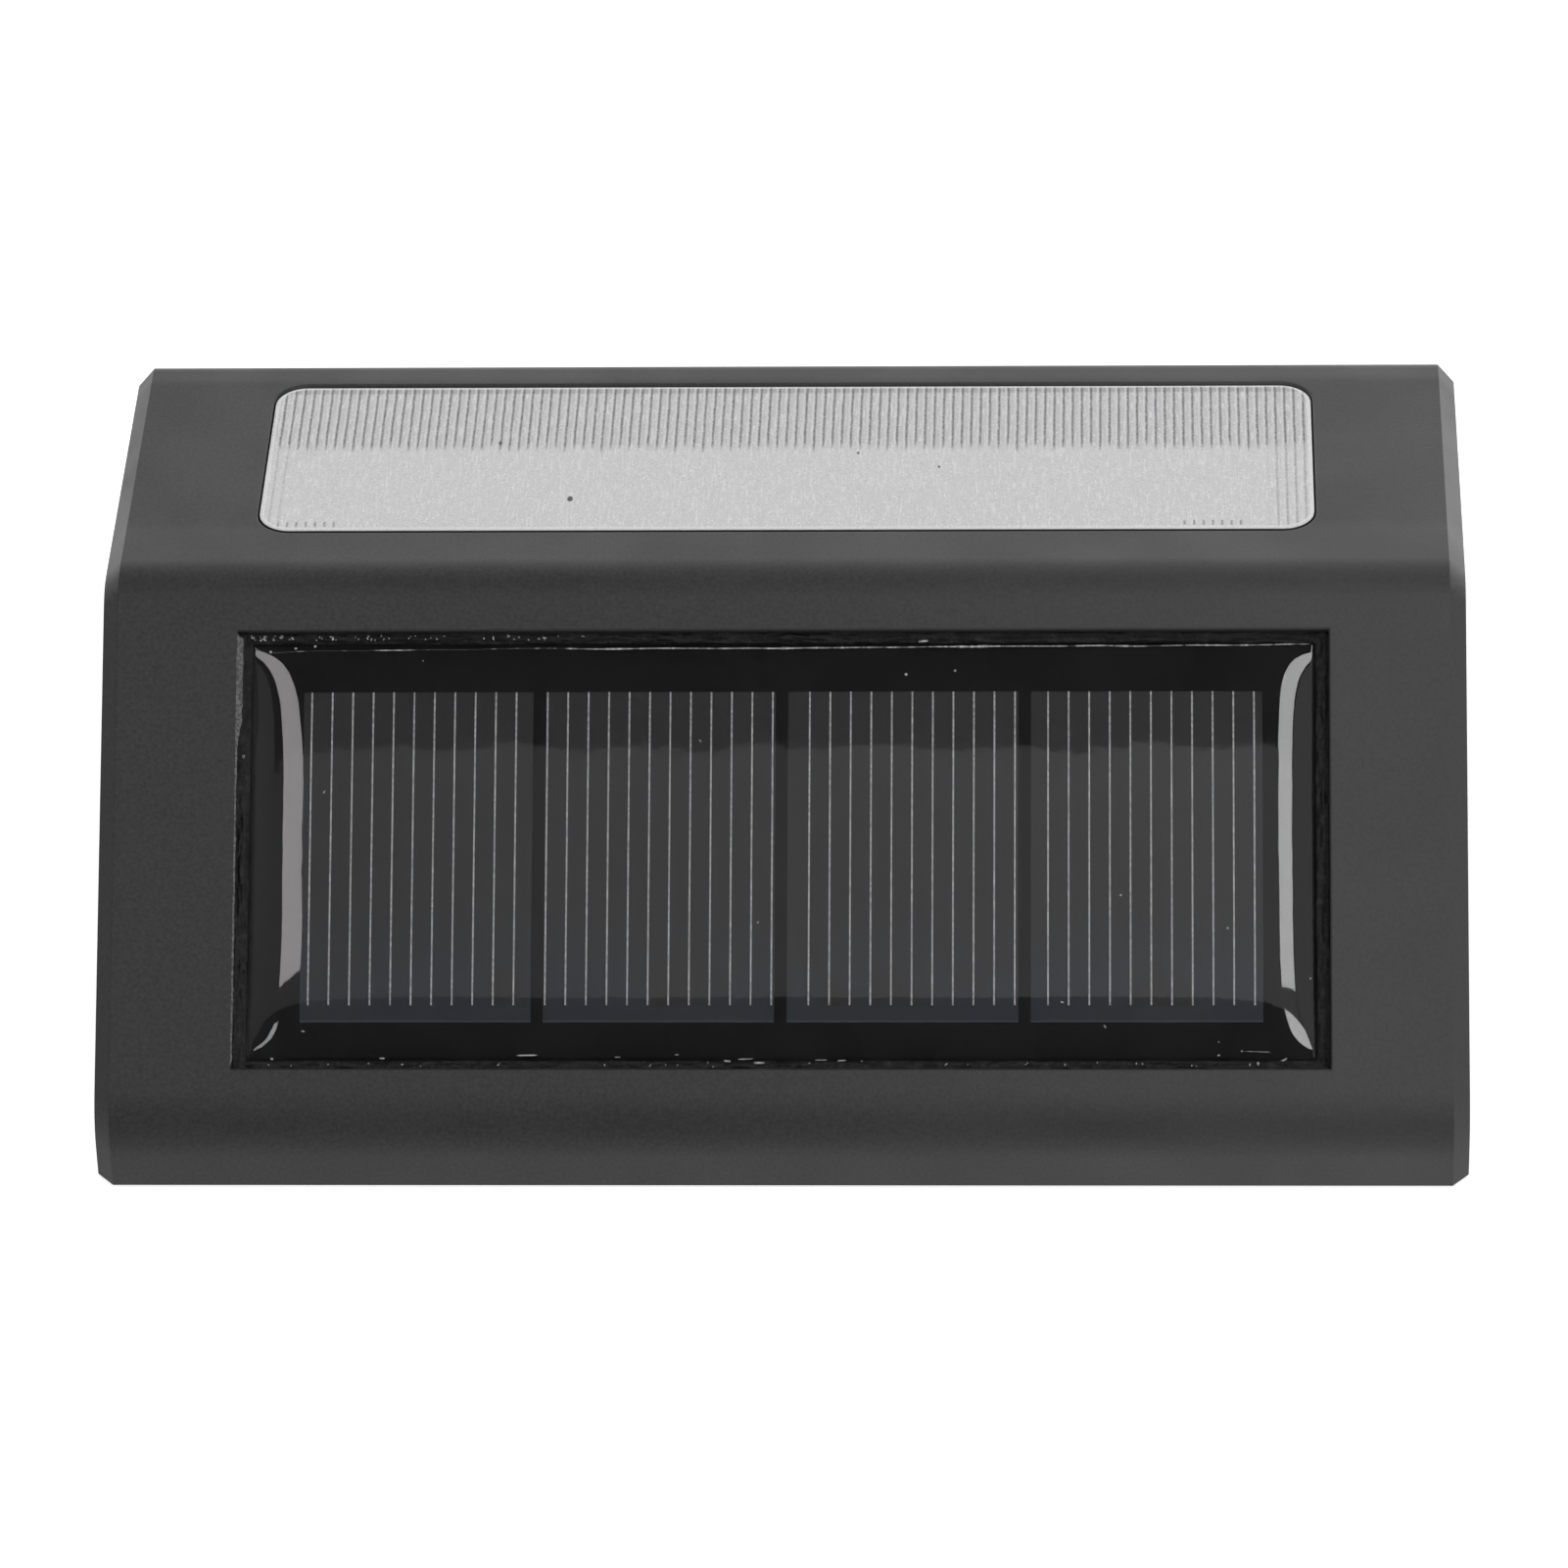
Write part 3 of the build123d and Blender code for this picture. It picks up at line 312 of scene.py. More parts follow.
def coatedSilicon(tree):
    place = slopeCoordinates(tree)
    x, y, level = addNode(tree, "SeparateXYZ", {0: place}).node.outputs
    cloud = addNode(tree, "TexNoise", {"Vector": place, "Scale": silicon["clouds"], "Detail": 3})
    fine = addNode(tree, "TexNoise", {"Vector": place, "Scale": silicon["grains"], "Detail": 3})
    both = addNode(tree, "Math", {0: fine, 1: silicon["grainShare"], 2: cloud}, operation="MULTIPLY_ADD")
    mixed = addNode(tree, "MapRange", {0: both, **silicon["colours"]}, **smooth)
    patches = addNode(tree, "MapRange", {0: cloud, **silicon["bluePatches"]}, **smooth)
    low = addNode(tree, "MapRange", {0: y, **silicon["blueLow"]}, **smooth)
    lowPatches = addNode(tree, "Math", {0: low, 1: patches}, operation="MULTIPLY")
    strip = addNode(tree, "MapRange", {0: y, **silicon["strip"]}, **smooth)
    blue = addNode(tree, "Math", {0: lowPatches, 1: strip}, operation="MAXIMUM")
    edge = addNode(tree, "MapRange", {0: y, **silicon["lowEdge"]}, **smooth)
    colour = linear(silicon["dark"])
    for amount, added in ((mixed, "light"), (blue, "blue"), (edge, "edge")):
        colour = addNode(tree, "Mix", {0: amount, 6: colour, 7: linear(silicon[added])}, data_type="RGBA")
    return addNode(tree, "BsdfPrincipled", {
        "Base Color": colour, "Specular IOR Level": silicon["specular"],
        "Roughness": addNode(tree, "MapRange", {0: cloud, **silicon["roughness"]}, **smooth),
    })


# the fingers: silver paste, printed and fired, so it is pale and matt and worn unevenly
silver = {
    "dark": "#868788", "light": "#babbbc", "wear": 3.2, "colours": {1: 0.35, 2: 0.7},
    "roughness": {1: 0.3, 2: 0.7, 3: 0.45, 4: 0.6}, "metallic": 0.35,
}


def printedSilver(tree):
    wear = addNode(tree, "TexNoise", {"Vector": inMillimetres(tree), "Scale": silver["wear"], "Detail": 4})
    mixed = addNode(tree, "MapRange", {0: wear, **silver["colours"]}, **smooth)
    colours = {0: mixed, 6: linear(silver["dark"]), 7: linear(silver["light"])}
    return addNode(tree, "BsdfPrincipled", {
        "Base Color": addNode(tree, "Mix", colours, data_type="RGBA"), "Metallic": silver["metallic"],
        "Roughness": addNode(tree, "MapRange", {0: wear, **silver["roughness"]}, **smooth),
    })


materials["silicon"] = newMaterial("coated_silicon", coatedSilicon)
materials["finger_silver"] = newMaterial("fired_silver_print", printedSilver)

# clear epoxy over the cells: poured, so it thins towards its edges in a soft meniscus
resin = {
    "height": 1.7 * mm, "sideHeight": 0.4 * mm, "meniscus": 2.5 * mm, "rim": 0.3 * mm, "sunk": 0.01 * mm,
    "ripple": 0.004 * mm, "rippleSize": 11 * mm, "columns": 230, "rows": 130, "crowding": 2.3,
    "skin": 0.45, "skinStrength": 0.5, "skinRelief": 0.01 * mm, "gloss": 0.03, "shade": (0.92, 0.93, 0.94, 1),
}


# Clear and glossy, with a barely uneven skin. Light goes straight through to the cells.
def clearResin(tree):
    skin = addNode(tree, "TexNoise", {"Vector": inMillimetres(tree), "Scale": resin["skin"], "Detail": 2})
    glass = addNode(tree, "BsdfPrincipled", {
        "Base Color": (1, 1, 1, 1), "Roughness": resin["gloss"], "IOR": 1.5, "Transmission Weight": 1,
        "Normal": addNode(tree, "Bump", {
            "Height": skin, "Strength": resin["skinStrength"], "Distance": resin["skinRelief"],
        }),
    })
    clear = addNode(tree, "BsdfTransparent", {"Color": resin["shade"]})
    rays = addNode(tree, "LightPath").node.outputs
    shadow, diffuse = rays["Is Shadow Ray"], rays["Is Diffuse Ray"]
    through = addNode(tree, "Math", {0: shadow, 1: diffuse}, operation="MAXIMUM")
    return addNode(tree, "MixShader", {0: through, 1: glass, 2: clear})


materials["clear_resin"] = newMaterial("clear_epoxy", clearResin)


# Height of the resin's top over the board: side + rise * (1 - e^(-dx/m)) * (1 - e^(-dy/m)), with dx
# and dy the distances from the edges and m the meniscus, less a quarter circle along the rim, and
# with two crossing sine waves for the ripple.
def resinTop(x, y):
    toSide = np.clip(panel["width"] / 2 - np.abs(x), 0, None)
    toEnd = np.clip(panel["length"] / 2 - np.abs(y), 0, None)
    body = (1 - np.exp(-toSide / resin["meniscus"])) * (1 - np.exp(-toEnd / resin["meniscus"]))
    inside = np.clip(resin["rim"] - np.minimum(toSide, toEnd), 0, None)
    rounding = resin["rim"] - np.sqrt(np.clip(resin["rim"] ** 2 - inside**2, 0, None))
    wave = 2 * math.pi / resin["rippleSize"]
    ripple = np.sin(wave * x + 0.7) * np.cos(0.8 * wave * y) + np.sin(0.37 * wave * (x + y)) - 2
    rise = resin["height"] - resin["sideHeight"] + resin["ripple"] * ripple
    return resin["sideHeight"] + rise * body - rounding


# Grid lines from -half to half, crowded towards both edges: half less half * s^p.
def crowdedLines(half, count):
    s = np.linspace(0, 1, count // 2 + 1)
    side = half - half * s ** resin["crowding"]
    return np.concatenate([-side[:-1], side[::-1]])


# The top's grid, the same grid flat underneath, and a wall round them.
def makeResin():
    xs = crowdedLines(panel["width"] / 2, resin["columns"])
    ys = crowdedLines(panel["length"] / 2, resin["rows"])
    across, along = len(xs), len(ys)
    x, y = np.meshgrid(xs, ys, indexing="ij")
    top = onSlope(x, y, panel["boardTop"] + resinTop(x, y))
    bottom = onSlope(x, y, panel["boardTop"] - resin["sunk"])
    faces = [gridFaces(across, along), gridFaces(across, along, start=x.size)[:, ::-1]]
    number = np.arange(x.size).reshape(across, along)
    for rim in (number[0], number[-1][::-1], number[:, 0][::-1], number[:, -1]):
        faces.append(np.stack([rim[:-1], rim[1:], rim[1:] + x.size, rim[:-1] + x.size], -1))
    return closeUp(makeObject("resin_block", np.stack([top, bottom]), *faces), 1e-7)


resinBlock = makeResin()
resinBlock.data.materials.append(materials["clear_resin"])
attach(resinBlock, "light")
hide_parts("resin_dome")
print("resin done")

# black glue round the panel, squeezed up unevenly against the resin
glue = {
    "level": -1.1 * mm, "climb": -0.42 * mm, "lump": 0.16 * mm, "bed": 12 * mm, "bedLevel": -2.9 * mm,
    "around": 1600, "across": 14, "seed": 7, "fineLumps": (3, 1), "broadLumps": (12, 2), "broadShare": 0.8,
    "dark": "#191919", "light": "#383838", "lumps": 1.4, "lumpRoughness": 0.65, "relief": 0.32 * mm,
    "colours": {1: 0.45, 2: 0.8}, "roughness": {1: 0.3, 2: 0.7, 3: 0.3, 4: 0.6}, "specular": 0.3,
}


# Silicone sealant, smeared and set: black and lumpy, in places shiny and in places dull.
def blackGlue(tree):
    place = inMillimetres(tree)
    lumps = addNode(tree, "TexNoise", {
        "Vector": place, "Scale": glue["lumps"], "Detail": 5, "Roughness": glue["lumpRoughness"],
    })
    mixed = addNode(tree, "MapRange", {0: lumps, **glue["colours"]}, **smooth)
    colours = {0: mixed, 6: linear(glue["dark"]), 7: linear(glue["light"])}
    return addNode(tree, "BsdfPrincipled", {
        "Base Color": addNode(tree, "Mix", colours, data_type="RGBA"), "Specular IOR Level": glue["specular"],
        "Roughness": addNode(tree, "MapRange", {0: lumps, **glue["roughness"]}, **smooth),
        "Normal": addNode(tree, "Bump", {"Height": lumps, "Strength": 1, "Distance": glue["relief"]}),
    })


materials["black_glue"] = newMaterial("silicone_glue_black", blackGlue)


# Points round a rectangle, from a share of the way round: straight runs between the four corners.
def roundRectangle(halfX, halfY, share):
    corners = np.array([(-halfX, -halfY), (halfX, -halfY), (halfX, halfY), (-halfX, halfY), (-halfX, -halfY)])
    lengths = np.array([halfX, halfY, halfX, halfY])
    stops = np.concatenate([[0], np.cumsum(lengths)]) / lengths.sum()
    return np.stack([np.interp(share, stops, corners[:, 0]), np.interp(share, stops, corners[:, 1])], -1)


# From the pocket's wall to the resin's edge, with v from 0 to 1, the top's height is
# level + climb * v^2 + lump * noise * sin(pi * (0.1 + 0.8 * v)). It closes under the board.
def makeGlue():
    random = np.random.default_rng(glue["seed"])
    size = around, across = glue["around"], glue["across"]
    share = np.arange(around) / around
    halfX, halfY = panel["width"] / 2, panel["length"] / 2
    outer = roundRectangle(panel["pocketWidth"] / 2, panel["pocketLength"] / 2, share)
    inner = roundRectangle(halfX, halfY, share)
    under = roundRectangle(halfX - glue["bed"], halfY - glue["bed"], share)
    v = np.linspace(0, 1, across)
    flat = outer[:, None] * (1 - v)[:, None] + inner[:, None] * v[:, None]
    lumps = smoothNoise(random, size, glue["fineLumps"])
    lumps += glue["broadShare"] * smoothNoise(random, size, glue["broadLumps"])
    height = glue["level"] + glue["climb"] * v**2 + glue["lump"] * lumps * np.sin(math.pi * (0.1 + 0.8 * v))
    rows = [onSlope(flat[..., 0], flat[..., 1], height)]
    bed, floor = glue["bedLevel"], -panel["pocketDepth"]
    for ring, level in ((inner, bed), (under, bed), (under, floor), (outer, floor)):
        rows.append(onSlope(ring[:, :1], ring[:, 1:], level))
    section = np.concatenate(rows, 1)
    return closeUp(makeObject("glue_collar", section, gridFaces(around, section.shape[1], True, True)))


glueCollar = makeGlue()
glueCollar.data.materials.append(materials["black_glue"])
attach(glueCollar, "light")
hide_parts("panel_sealant")
print("glue done")

# painted light and glue bits: a broken line along the resin's far edge, painted as a glint of that edge,
# a pale strip on the pocket's rim, painted as a highlight of its edge, and crumb bits of glue and dust
paintedGlintsAndDried = {
    "seed": 23, "stations": 1400, "taper": 40, "noises": (5, 1, 22),
    # mm: half its width, how much the noises change it, and where and how much it thins out
    "line": {
        "ends": (-46.4, 46.2), "x": (-46.5, -43, -17, 0, 26, 43, 46.5),
        "y": (-18.39, -18.27, -18.18, -18.04, -18.0, -17.79, -17.6), "sway": 0.05,
        "half": 0.045, "noise": 0.03, "sharp": 0.02, "slow": 0.03, "broken": 0.055, "from": 12, "over": 14,
        # the painted glint line, in mm: half its width, how much the noises change it, and where and how much
        # it thins out
        "thinnest": 0.004, "lift": 0.02, "height": 0.04,
    },
    # the pale strip on the pocket's rim, painted as a highlight of its bevelled edge
    "film": {
        "ends": (-19.2, 19.2), "outer": 47.98, "half": 0.09, "noise": 0.02, "slow": 0.012,
        "wider": 0.2, "from": -9.0, "over": -2.5, "thinnest": 0.008, "lift": 0.004, "height": 0.012,
    },
    "grow": 1.5, "crumbHeight": 0.35, "onGlue": 0.08 * mm, "crumbsAndGlints": (  # x, y, length, width, turn in degrees
        # the long thin ones at (22.1, 18.05) and (-41.6, 17.74), and the dot at (-40.2, 17.7), are painted
        # glints near the resin's edge at y 18; the rest are crumb bits and dust
        (41.2, -18.3, 0.2, 0.16, 0), (42.9, -18.1, 0.2, 0.14, 20), (39.6, -18.9, 0.22, 0.14, 70),
        (45.1, -17.8, 0.16, 0.14, 0), (47.35, -8.4, 0.3, 0.2, 80), (44.45, 18.35, 0.22, 0.16, 0),
        (41.7, 16.0, 0.26, 0.1, -10), (34.8, 18.3, 0.4, 0.1, 0), (22.1, 18.05, 1.5, 0.09, 1),
        (-43.7, 18.48, 0.85, 0.12, 31), (-40.9, 18.9, 0.2, 0.1, 75), (-41.6, 18.9, 0.14, 0.1, 0),
        (-41.6, 17.74, 1.9, 0.03, -2), (-40.2, 17.7, 0.14, 0.12, 0), (-38.2, 16.93, 0.1, 0.08, 0),
        (-38.2, 18.05, 0.2, 0.08, 20), (3.0, 18.35, 1.1, 0.07, 2), (1.8, 18.75, 0.8, 0.14, 0),
        (4.6, 18.6, 0.5, 0.12, -5), (-3.6, 18.5, 0.9, 0.06, 0), (-5.4, 18.55, 0.6, 0.08, 3),
        (14.2, 18.2, 0.4, 0.05, 0), (9.0, 18.0, 0.3, 0.05, 0), (33.0, 18.9, 0.2, 0.08, 0),
        (-10.9, -15.56, 0.2, 0.17, 0), (-12.4, -18.6, 0.7, 0.14, 5), (-15.2, -15.9, 0.17, 0.15, 0),
        (1.95, 6.5, 0.1, 0.1, 0), (-29.7, 4.1, 0.14, 0.12, 0), (-39.0, 7.0, 0.12, 0.1, 0),
        (-24.6, 13.5, 0.24, 0.08, -15), (-28.3, 15.6, 0.3, 0.07, -60), (-46.2, 11.3, 0.12, 0.1, 0),
        (40.1, -5.1, 0.24, 0.05, 50), (7.1, -9.6, 0.24, 0.05, -50), (31.6, -16.9, 0.1, 0.08, 0),
    ),
    # loose ones: how many, and the strips where they lie
    "farCrumbs": 60, "farX": (46.8, 30), "farY": (-18.75, 0.45),
    "lowCrumbs": 26, "lowX": (-46, 92), "lowY": (18.6, 0.5), "lengths": (0.08, 0.2), "widths": (0.05, 0.06),
    # whitish colours for crumb bits and the painted glint line, grey ones for the painted highlight on the
    # pocket's rim
    "dark": "#8a8a8a", "light": "#e4e4e2", "pocketHighlightDark": "#202020", "pocketHighlightLight": "#5f5f5f",
    "grains": 3.5, "grainRoughness": 0.7, "relief": 0.05 * mm, "roughness": {1: 0.3, 2: 0.7, 3: 0.3, 4: 0.6},
    "colours": {1: 0.35, 2: 0.65}, "pocketHighlightColours": {1: 0.4, 2: 0.7}, "onPocketHighlight": {1: 47.2, 2: 47.3, 4: 0.85},
}


# Whitish colour for crumb bits of clear glue that set, and for the painted glint along the resin's far edge;
# a thin grey strip on the pocket's rim as its painted highlight.
def driedGlueAndPaintedGlints(tree):
    place = inMillimetres(tree)
    x, y, z = addNode(tree, "SeparateXYZ", {0: place}).node.outputs
    fine = addNode(tree, "TexNoise", {
        "Vector": place, "Scale": paintedGlintsAndDried["grains"], "Detail": 4, "Roughness": paintedGlintsAndDried["grainRoughness"],
    })
    crumbAndGlintTone = addNode(tree, "MapRange", {0: fine, **paintedGlintsAndDried["colours"]}, **smooth)
    crumbAndGlintColour = {0: crumbAndGlintTone, 6: linear(paintedGlintsAndDried["dark"]), 7: linear(paintedGlintsAndDried["light"])}
    # the painted highlight on the pocket's rim: grey tones past x = 47.2 mm
    pocketHighlightTone = addNode(tree, "MapRange", {0: fine, **paintedGlintsAndDried["pocketHighlightColours"]}, **smooth)
    film = {0: pocketHighlightTone, 6: linear(paintedGlintsAndDried["pocketHighlightDark"]), 7: linear(paintedGlintsAndDried["pocketHighlightLight"])}
    toned = {
        0: addNode(tree, "MapRange", {0: x, **paintedGlintsAndDried["onPocketHighlight"]}, **smooth),
        6: addNode(tree, "Mix", crumbAndGlintColour, data_type="RGBA"), 7: addNode(tree, "Mix", film, data_type="RGBA"),
    }
    return addNode(tree, "BsdfPrincipled", {
        "Base Color": addNode(tree, "Mix", toned, data_type="RGBA"),
        "Roughness": addNode(tree, "MapRange", {0: fine, **paintedGlintsAndDried["roughness"]}, **smooth),
        "Normal": addNode(tree, "Bump", {"Height": fine, "Strength": 1, "Distance": paintedGlintsAndDried["relief"]}),
    })


# A bead with a diamond section, all in mm: half its width to each side of its line, along y where it
# runs across and along x where it runs up the slope, and its height up and down. It is lower where
# it is narrow.
def bead(x, y, level, halfWidth, height, upwards):
    side = halfWidth[:, None] * np.array((1, 0, -1, 0))
    lift = height * np.minimum(1, halfWidth / halfWidth.max())[:, None] * np.array((0, 1, 0, -1))
    atX = x[:, None] + side * upwards
    atY = y[:, None] + side * (not upwards)
    return onSlope(atX * mm, atY * mm, (level[:, None] + lift) * mm).reshape(-1, 3)


# Each crumb and painted glint: one icosahedron, stretched, turned in the slope's plane and set on the
# surface.
def crumbsAndGlints(rows, level):
    golden = (1 + math.sqrt(5)) / 2
    base = np.array([
        (-1, golden, 0), (1, golden, 0), (-1, -golden, 0), (1, -golden, 0), (0, -1, golden), (0, 1, golden),
        (0, -1, -golden), (0, 1, -golden), (golden, 0, -1), (golden, 0, 1), (-golden, 0, -1), (-golden, 0, 1),
    ]) / math.hypot(1, golden)
    faces = np.array([
        (0, 11, 5), (0, 5, 1), (0, 1, 7), (0, 7, 10), (0, 10, 11), (1, 5, 9), (5, 11, 4), (11, 10, 2),
        (10, 7, 6), (7, 1, 8), (3, 9, 4), (3, 4, 2), (3, 2, 6), (3, 6, 8), (3, 8, 9), (4, 9, 5), (2, 4, 11),
        (6, 2, 10), (8, 6, 7), (9, 8, 1),
    ])
    x, y, length, width, turn = rows.T[:, :, None]
    turn = np.radians(turn)
    along, aside = base[:, 0] * length / 2, base[:, 1] * width / 2
    atX = (x + along * np.cos(turn) - aside * np.sin(turn)) * mm
    atY = (y + along * np.sin(turn) + aside * np.cos(turn)) * mm
    points = onSlope(atX, atY, level[:, None] + base[:, 2] * width * paintedGlintsAndDried["crumbHeight"] * mm)
    order = faces + len(base) * np.arange(len(rows))[:, None, None]
    return points.reshape(-1, 3), order.reshape(-1, 3)


# Level of the resin's or the glue's top under a point.
def surfaceLevel(x, y):
    onResin = (np.abs(x) < panel["width"] / 2) & (np.abs(y) < panel["length"] / 2)
    return np.where(onResin, panel["boardTop"] + resinTop(x, y), glue["level"] + paintedGlintsAndDried["onGlue"])


# Loose crumb bits' rows: each value is a start plus a random share of a span.
def scatter(random):
    far, low = paintedGlintsAndDried["farCrumbs"], paintedGlintsAndDried["lowCrumbs"]
    farX = paintedGlintsAndDried["farX"][0] - paintedGlintsAndDried["farX"][1] * random.random(far) ** 1.6
    lowX = paintedGlintsAndDried["lowX"][1] * random.random(low) + paintedGlintsAndDried["lowX"][0]
    farY = paintedGlintsAndDried["farY"][0] - paintedGlintsAndDried["farY"][1] * random.random(far)
    lowY = paintedGlintsAndDried["lowY"][0] + paintedGlintsAndDried["lowY"][1] * random.random(low)
    length = paintedGlintsAndDried["lengths"][0] + paintedGlintsAndDried["lengths"][1] * random.random(far + low) ** 2
    width = paintedGlintsAndDried["widths"][0] + paintedGlintsAndDried["widths"][1] * random.random(far + low)
    turn = 180 * random.random(far + low)
    return np.stack([np.concatenate([farX, lowX]), np.concatenate([farY, lowY]), length, width, turn], 1)


def makeDriedGlueAndPaintedGlints():
    random = np.random.default_rng(paintedGlintsAndDried["seed"])
    count, line, film = paintedGlintsAndDried["stations"], paintedGlintsAndDried["line"], paintedGlintsAndDried["film"]
    ends = np.minimum(1, paintedGlintsAndDried["taper"] * (1 - np.abs(np.linspace(-1, 1, count))))
    noise, sharp, slow = (smoothNoise(random, (3, count), (0, width)) for width in paintedGlintsAndDried["noises"])
    # the line on the resin's rim, a painted glint of its edge: whole on one half, broken up on the other
    x = np.linspace(*line["ends"], count)
    y = np.interp(x, line["x"], line["y"]) + line["sway"] * slow[0]
    width = line["half"] + line["noise"] * noise[0] + line["sharp"] * sharp[0] + line["slow"] * slow[1]
    width -= line["broken"] * np.clip((x - line["from"]) / line["over"], 0, 1)
    width = np.clip(width, line["thinnest"], None) * ends
    level = surfaceLevel(x * mm, y * mm) / mm + line["lift"]
    glintBead = bead(x, y, level, width, line["height"], False)
    # the pale strip on the pocket's rim, a painted highlight of its edge, wide near its far end
    y = np.linspace(*film["ends"], count)
    width = film["half"] + film["noise"] * noise[1] + film["slow"] * slow[1]
    width += film["wider"] * np.clip((y - film["from"]) / film["over"], 0, 1)
    width = np.clip(width, film["thinnest"], None) * ends
    pocketHighlightBead = bead(film["outer"] - width, y, np.full(count, film["lift"]), width, film["height"], True)
    rows = np.concatenate([np.array(paintedGlintsAndDried["crumbsAndGlints"], float), scatter(random)])
    rows[:, 2:4] *= paintedGlintsAndDried["grow"]
    crumbPoints, crumbFaces = crumbsAndGlints(rows, surfaceLevel(rows[:, 0] * mm, rows[:, 1] * mm))
    lineFaces = gridFaces(count, 4, closedColumns=True)
    points = np.concatenate([glintBead, pocketHighlightBead, crumbPoints])
    faces = (lineFaces, lineFaces + len(glintBead), crumbFaces + len(glintBead) + len(pocketHighlightBead))
    return closeUp(makeObject("dried_glue_and_painted_glints", points, *faces, smooth=False), 1e-7)


driedGlueAndGlintPiece = makeDriedGlueAndPaintedGlints()
driedGlueAndGlintPiece.data.materials.append(newMaterial("dried_glue_and_painted_highlights", driedGlueAndPaintedGlints))
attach(driedGlueAndGlintPiece, "light")
print("dried glue done")

# the lens: polycarbonate, moulded with fine ribs, and frosted so that it sparkles in streaks along
# them. It is about 94 mm wide, and the low end of z is at its lower edge.
lens = {
    # how the plate is moved out and widened to fill its window
    "flush": 0.26 * mm, "trim": 0.1 * mm, "widen": 0.09 * mm, "padFront": -39.6 * mm,
    # its outline: half width, half height, corner radius, and the middle's height
    "outline": (46.94, 11.75, 2.85), "middleZ": -18.6,
    # ribs behind the frosted face, drawn on it as a dark line with a painted highlight on its flank in each
    # pitch, and where they show
    "ribPitch": 0.83, "sway": 0.5, "swayAmount": 0.1, "grainAmount": 0.12, "flankAt": 0.79,
    "line": {1: 0.16, 2: 0.04}, "flank": {1: 0.16, 2: 0.04}, "flankAmount": 0.6,
    "uneven": 1.1, "unevenAmount": -3, "band": {1: -22.5, 2: -20.9, 3: 1, 4: 0},
    "leftEnd": {1: 44.4, 2: 45.4, 4: 0.3}, "rightEnd": {1: -42.6, 2: -44, 4: 0.5},
    "dashes": ((39.9, 45.2), (-41.0, -34.9)), "dashZ": -7.8, "dashEnds": {1: 0.5, 2: 0.3, 4: 0.75},
    "depth": {1: 0.35, 2: 0.6, 3: 0.95, 4: 0.6},
    # frost: grains and streaks in a mm, how far the streaks are drawn out along z, where they show
    "grains": 5.5, "grainRoughness": 0.6, "streaks": 6, "stretch": (1, 1, 0.09),
    "streaky": {1: 0.53, 2: 0.68, 4: 0.75}, "dull": {1: 0.45, 2: 0.3, 4: 0.5},
    "sparkling": {1: 0.57, 2: 0.66, 4: 0.9},
    # the lower edge in painted shade, the bright rim as a painted highlight, and the plate's side in its gap
    # in painted shade
    "lowShade": {1: -29, 2: -29.3, 4: 0.55}, "rim": {1: -0.55, 2: -0.35},
    "rimGrains": {1: 0.35, 2: 0.55, 3: 0.45, 4: 0.9}, "gap": {1: -40.91, 2: -40.84},
    # dark specks in the plastic: x, z and radius
    "specks": ((26.07, -20.98, 0.16), (19.31, -11.84, 0.24), (-6.2, -19.2, 0.11), (-13.5, -16.9, 0.1)),
    "speckShape": 0.6, "speckSoft": (0.06, -0.04),
    "relief": 0.015 * mm, "bumpStrength": 0.6, "rough": 0.42, "ior": 1.58,
}


# How far a value is from a middle one.
def apart(tree, value, middle):
    difference = addNode(tree, "Math", {0: value, 1: middle}, operation="SUBTRACT")
    return addNode(tree, "Math", {0: difference}, operation="ABSOLUTE")


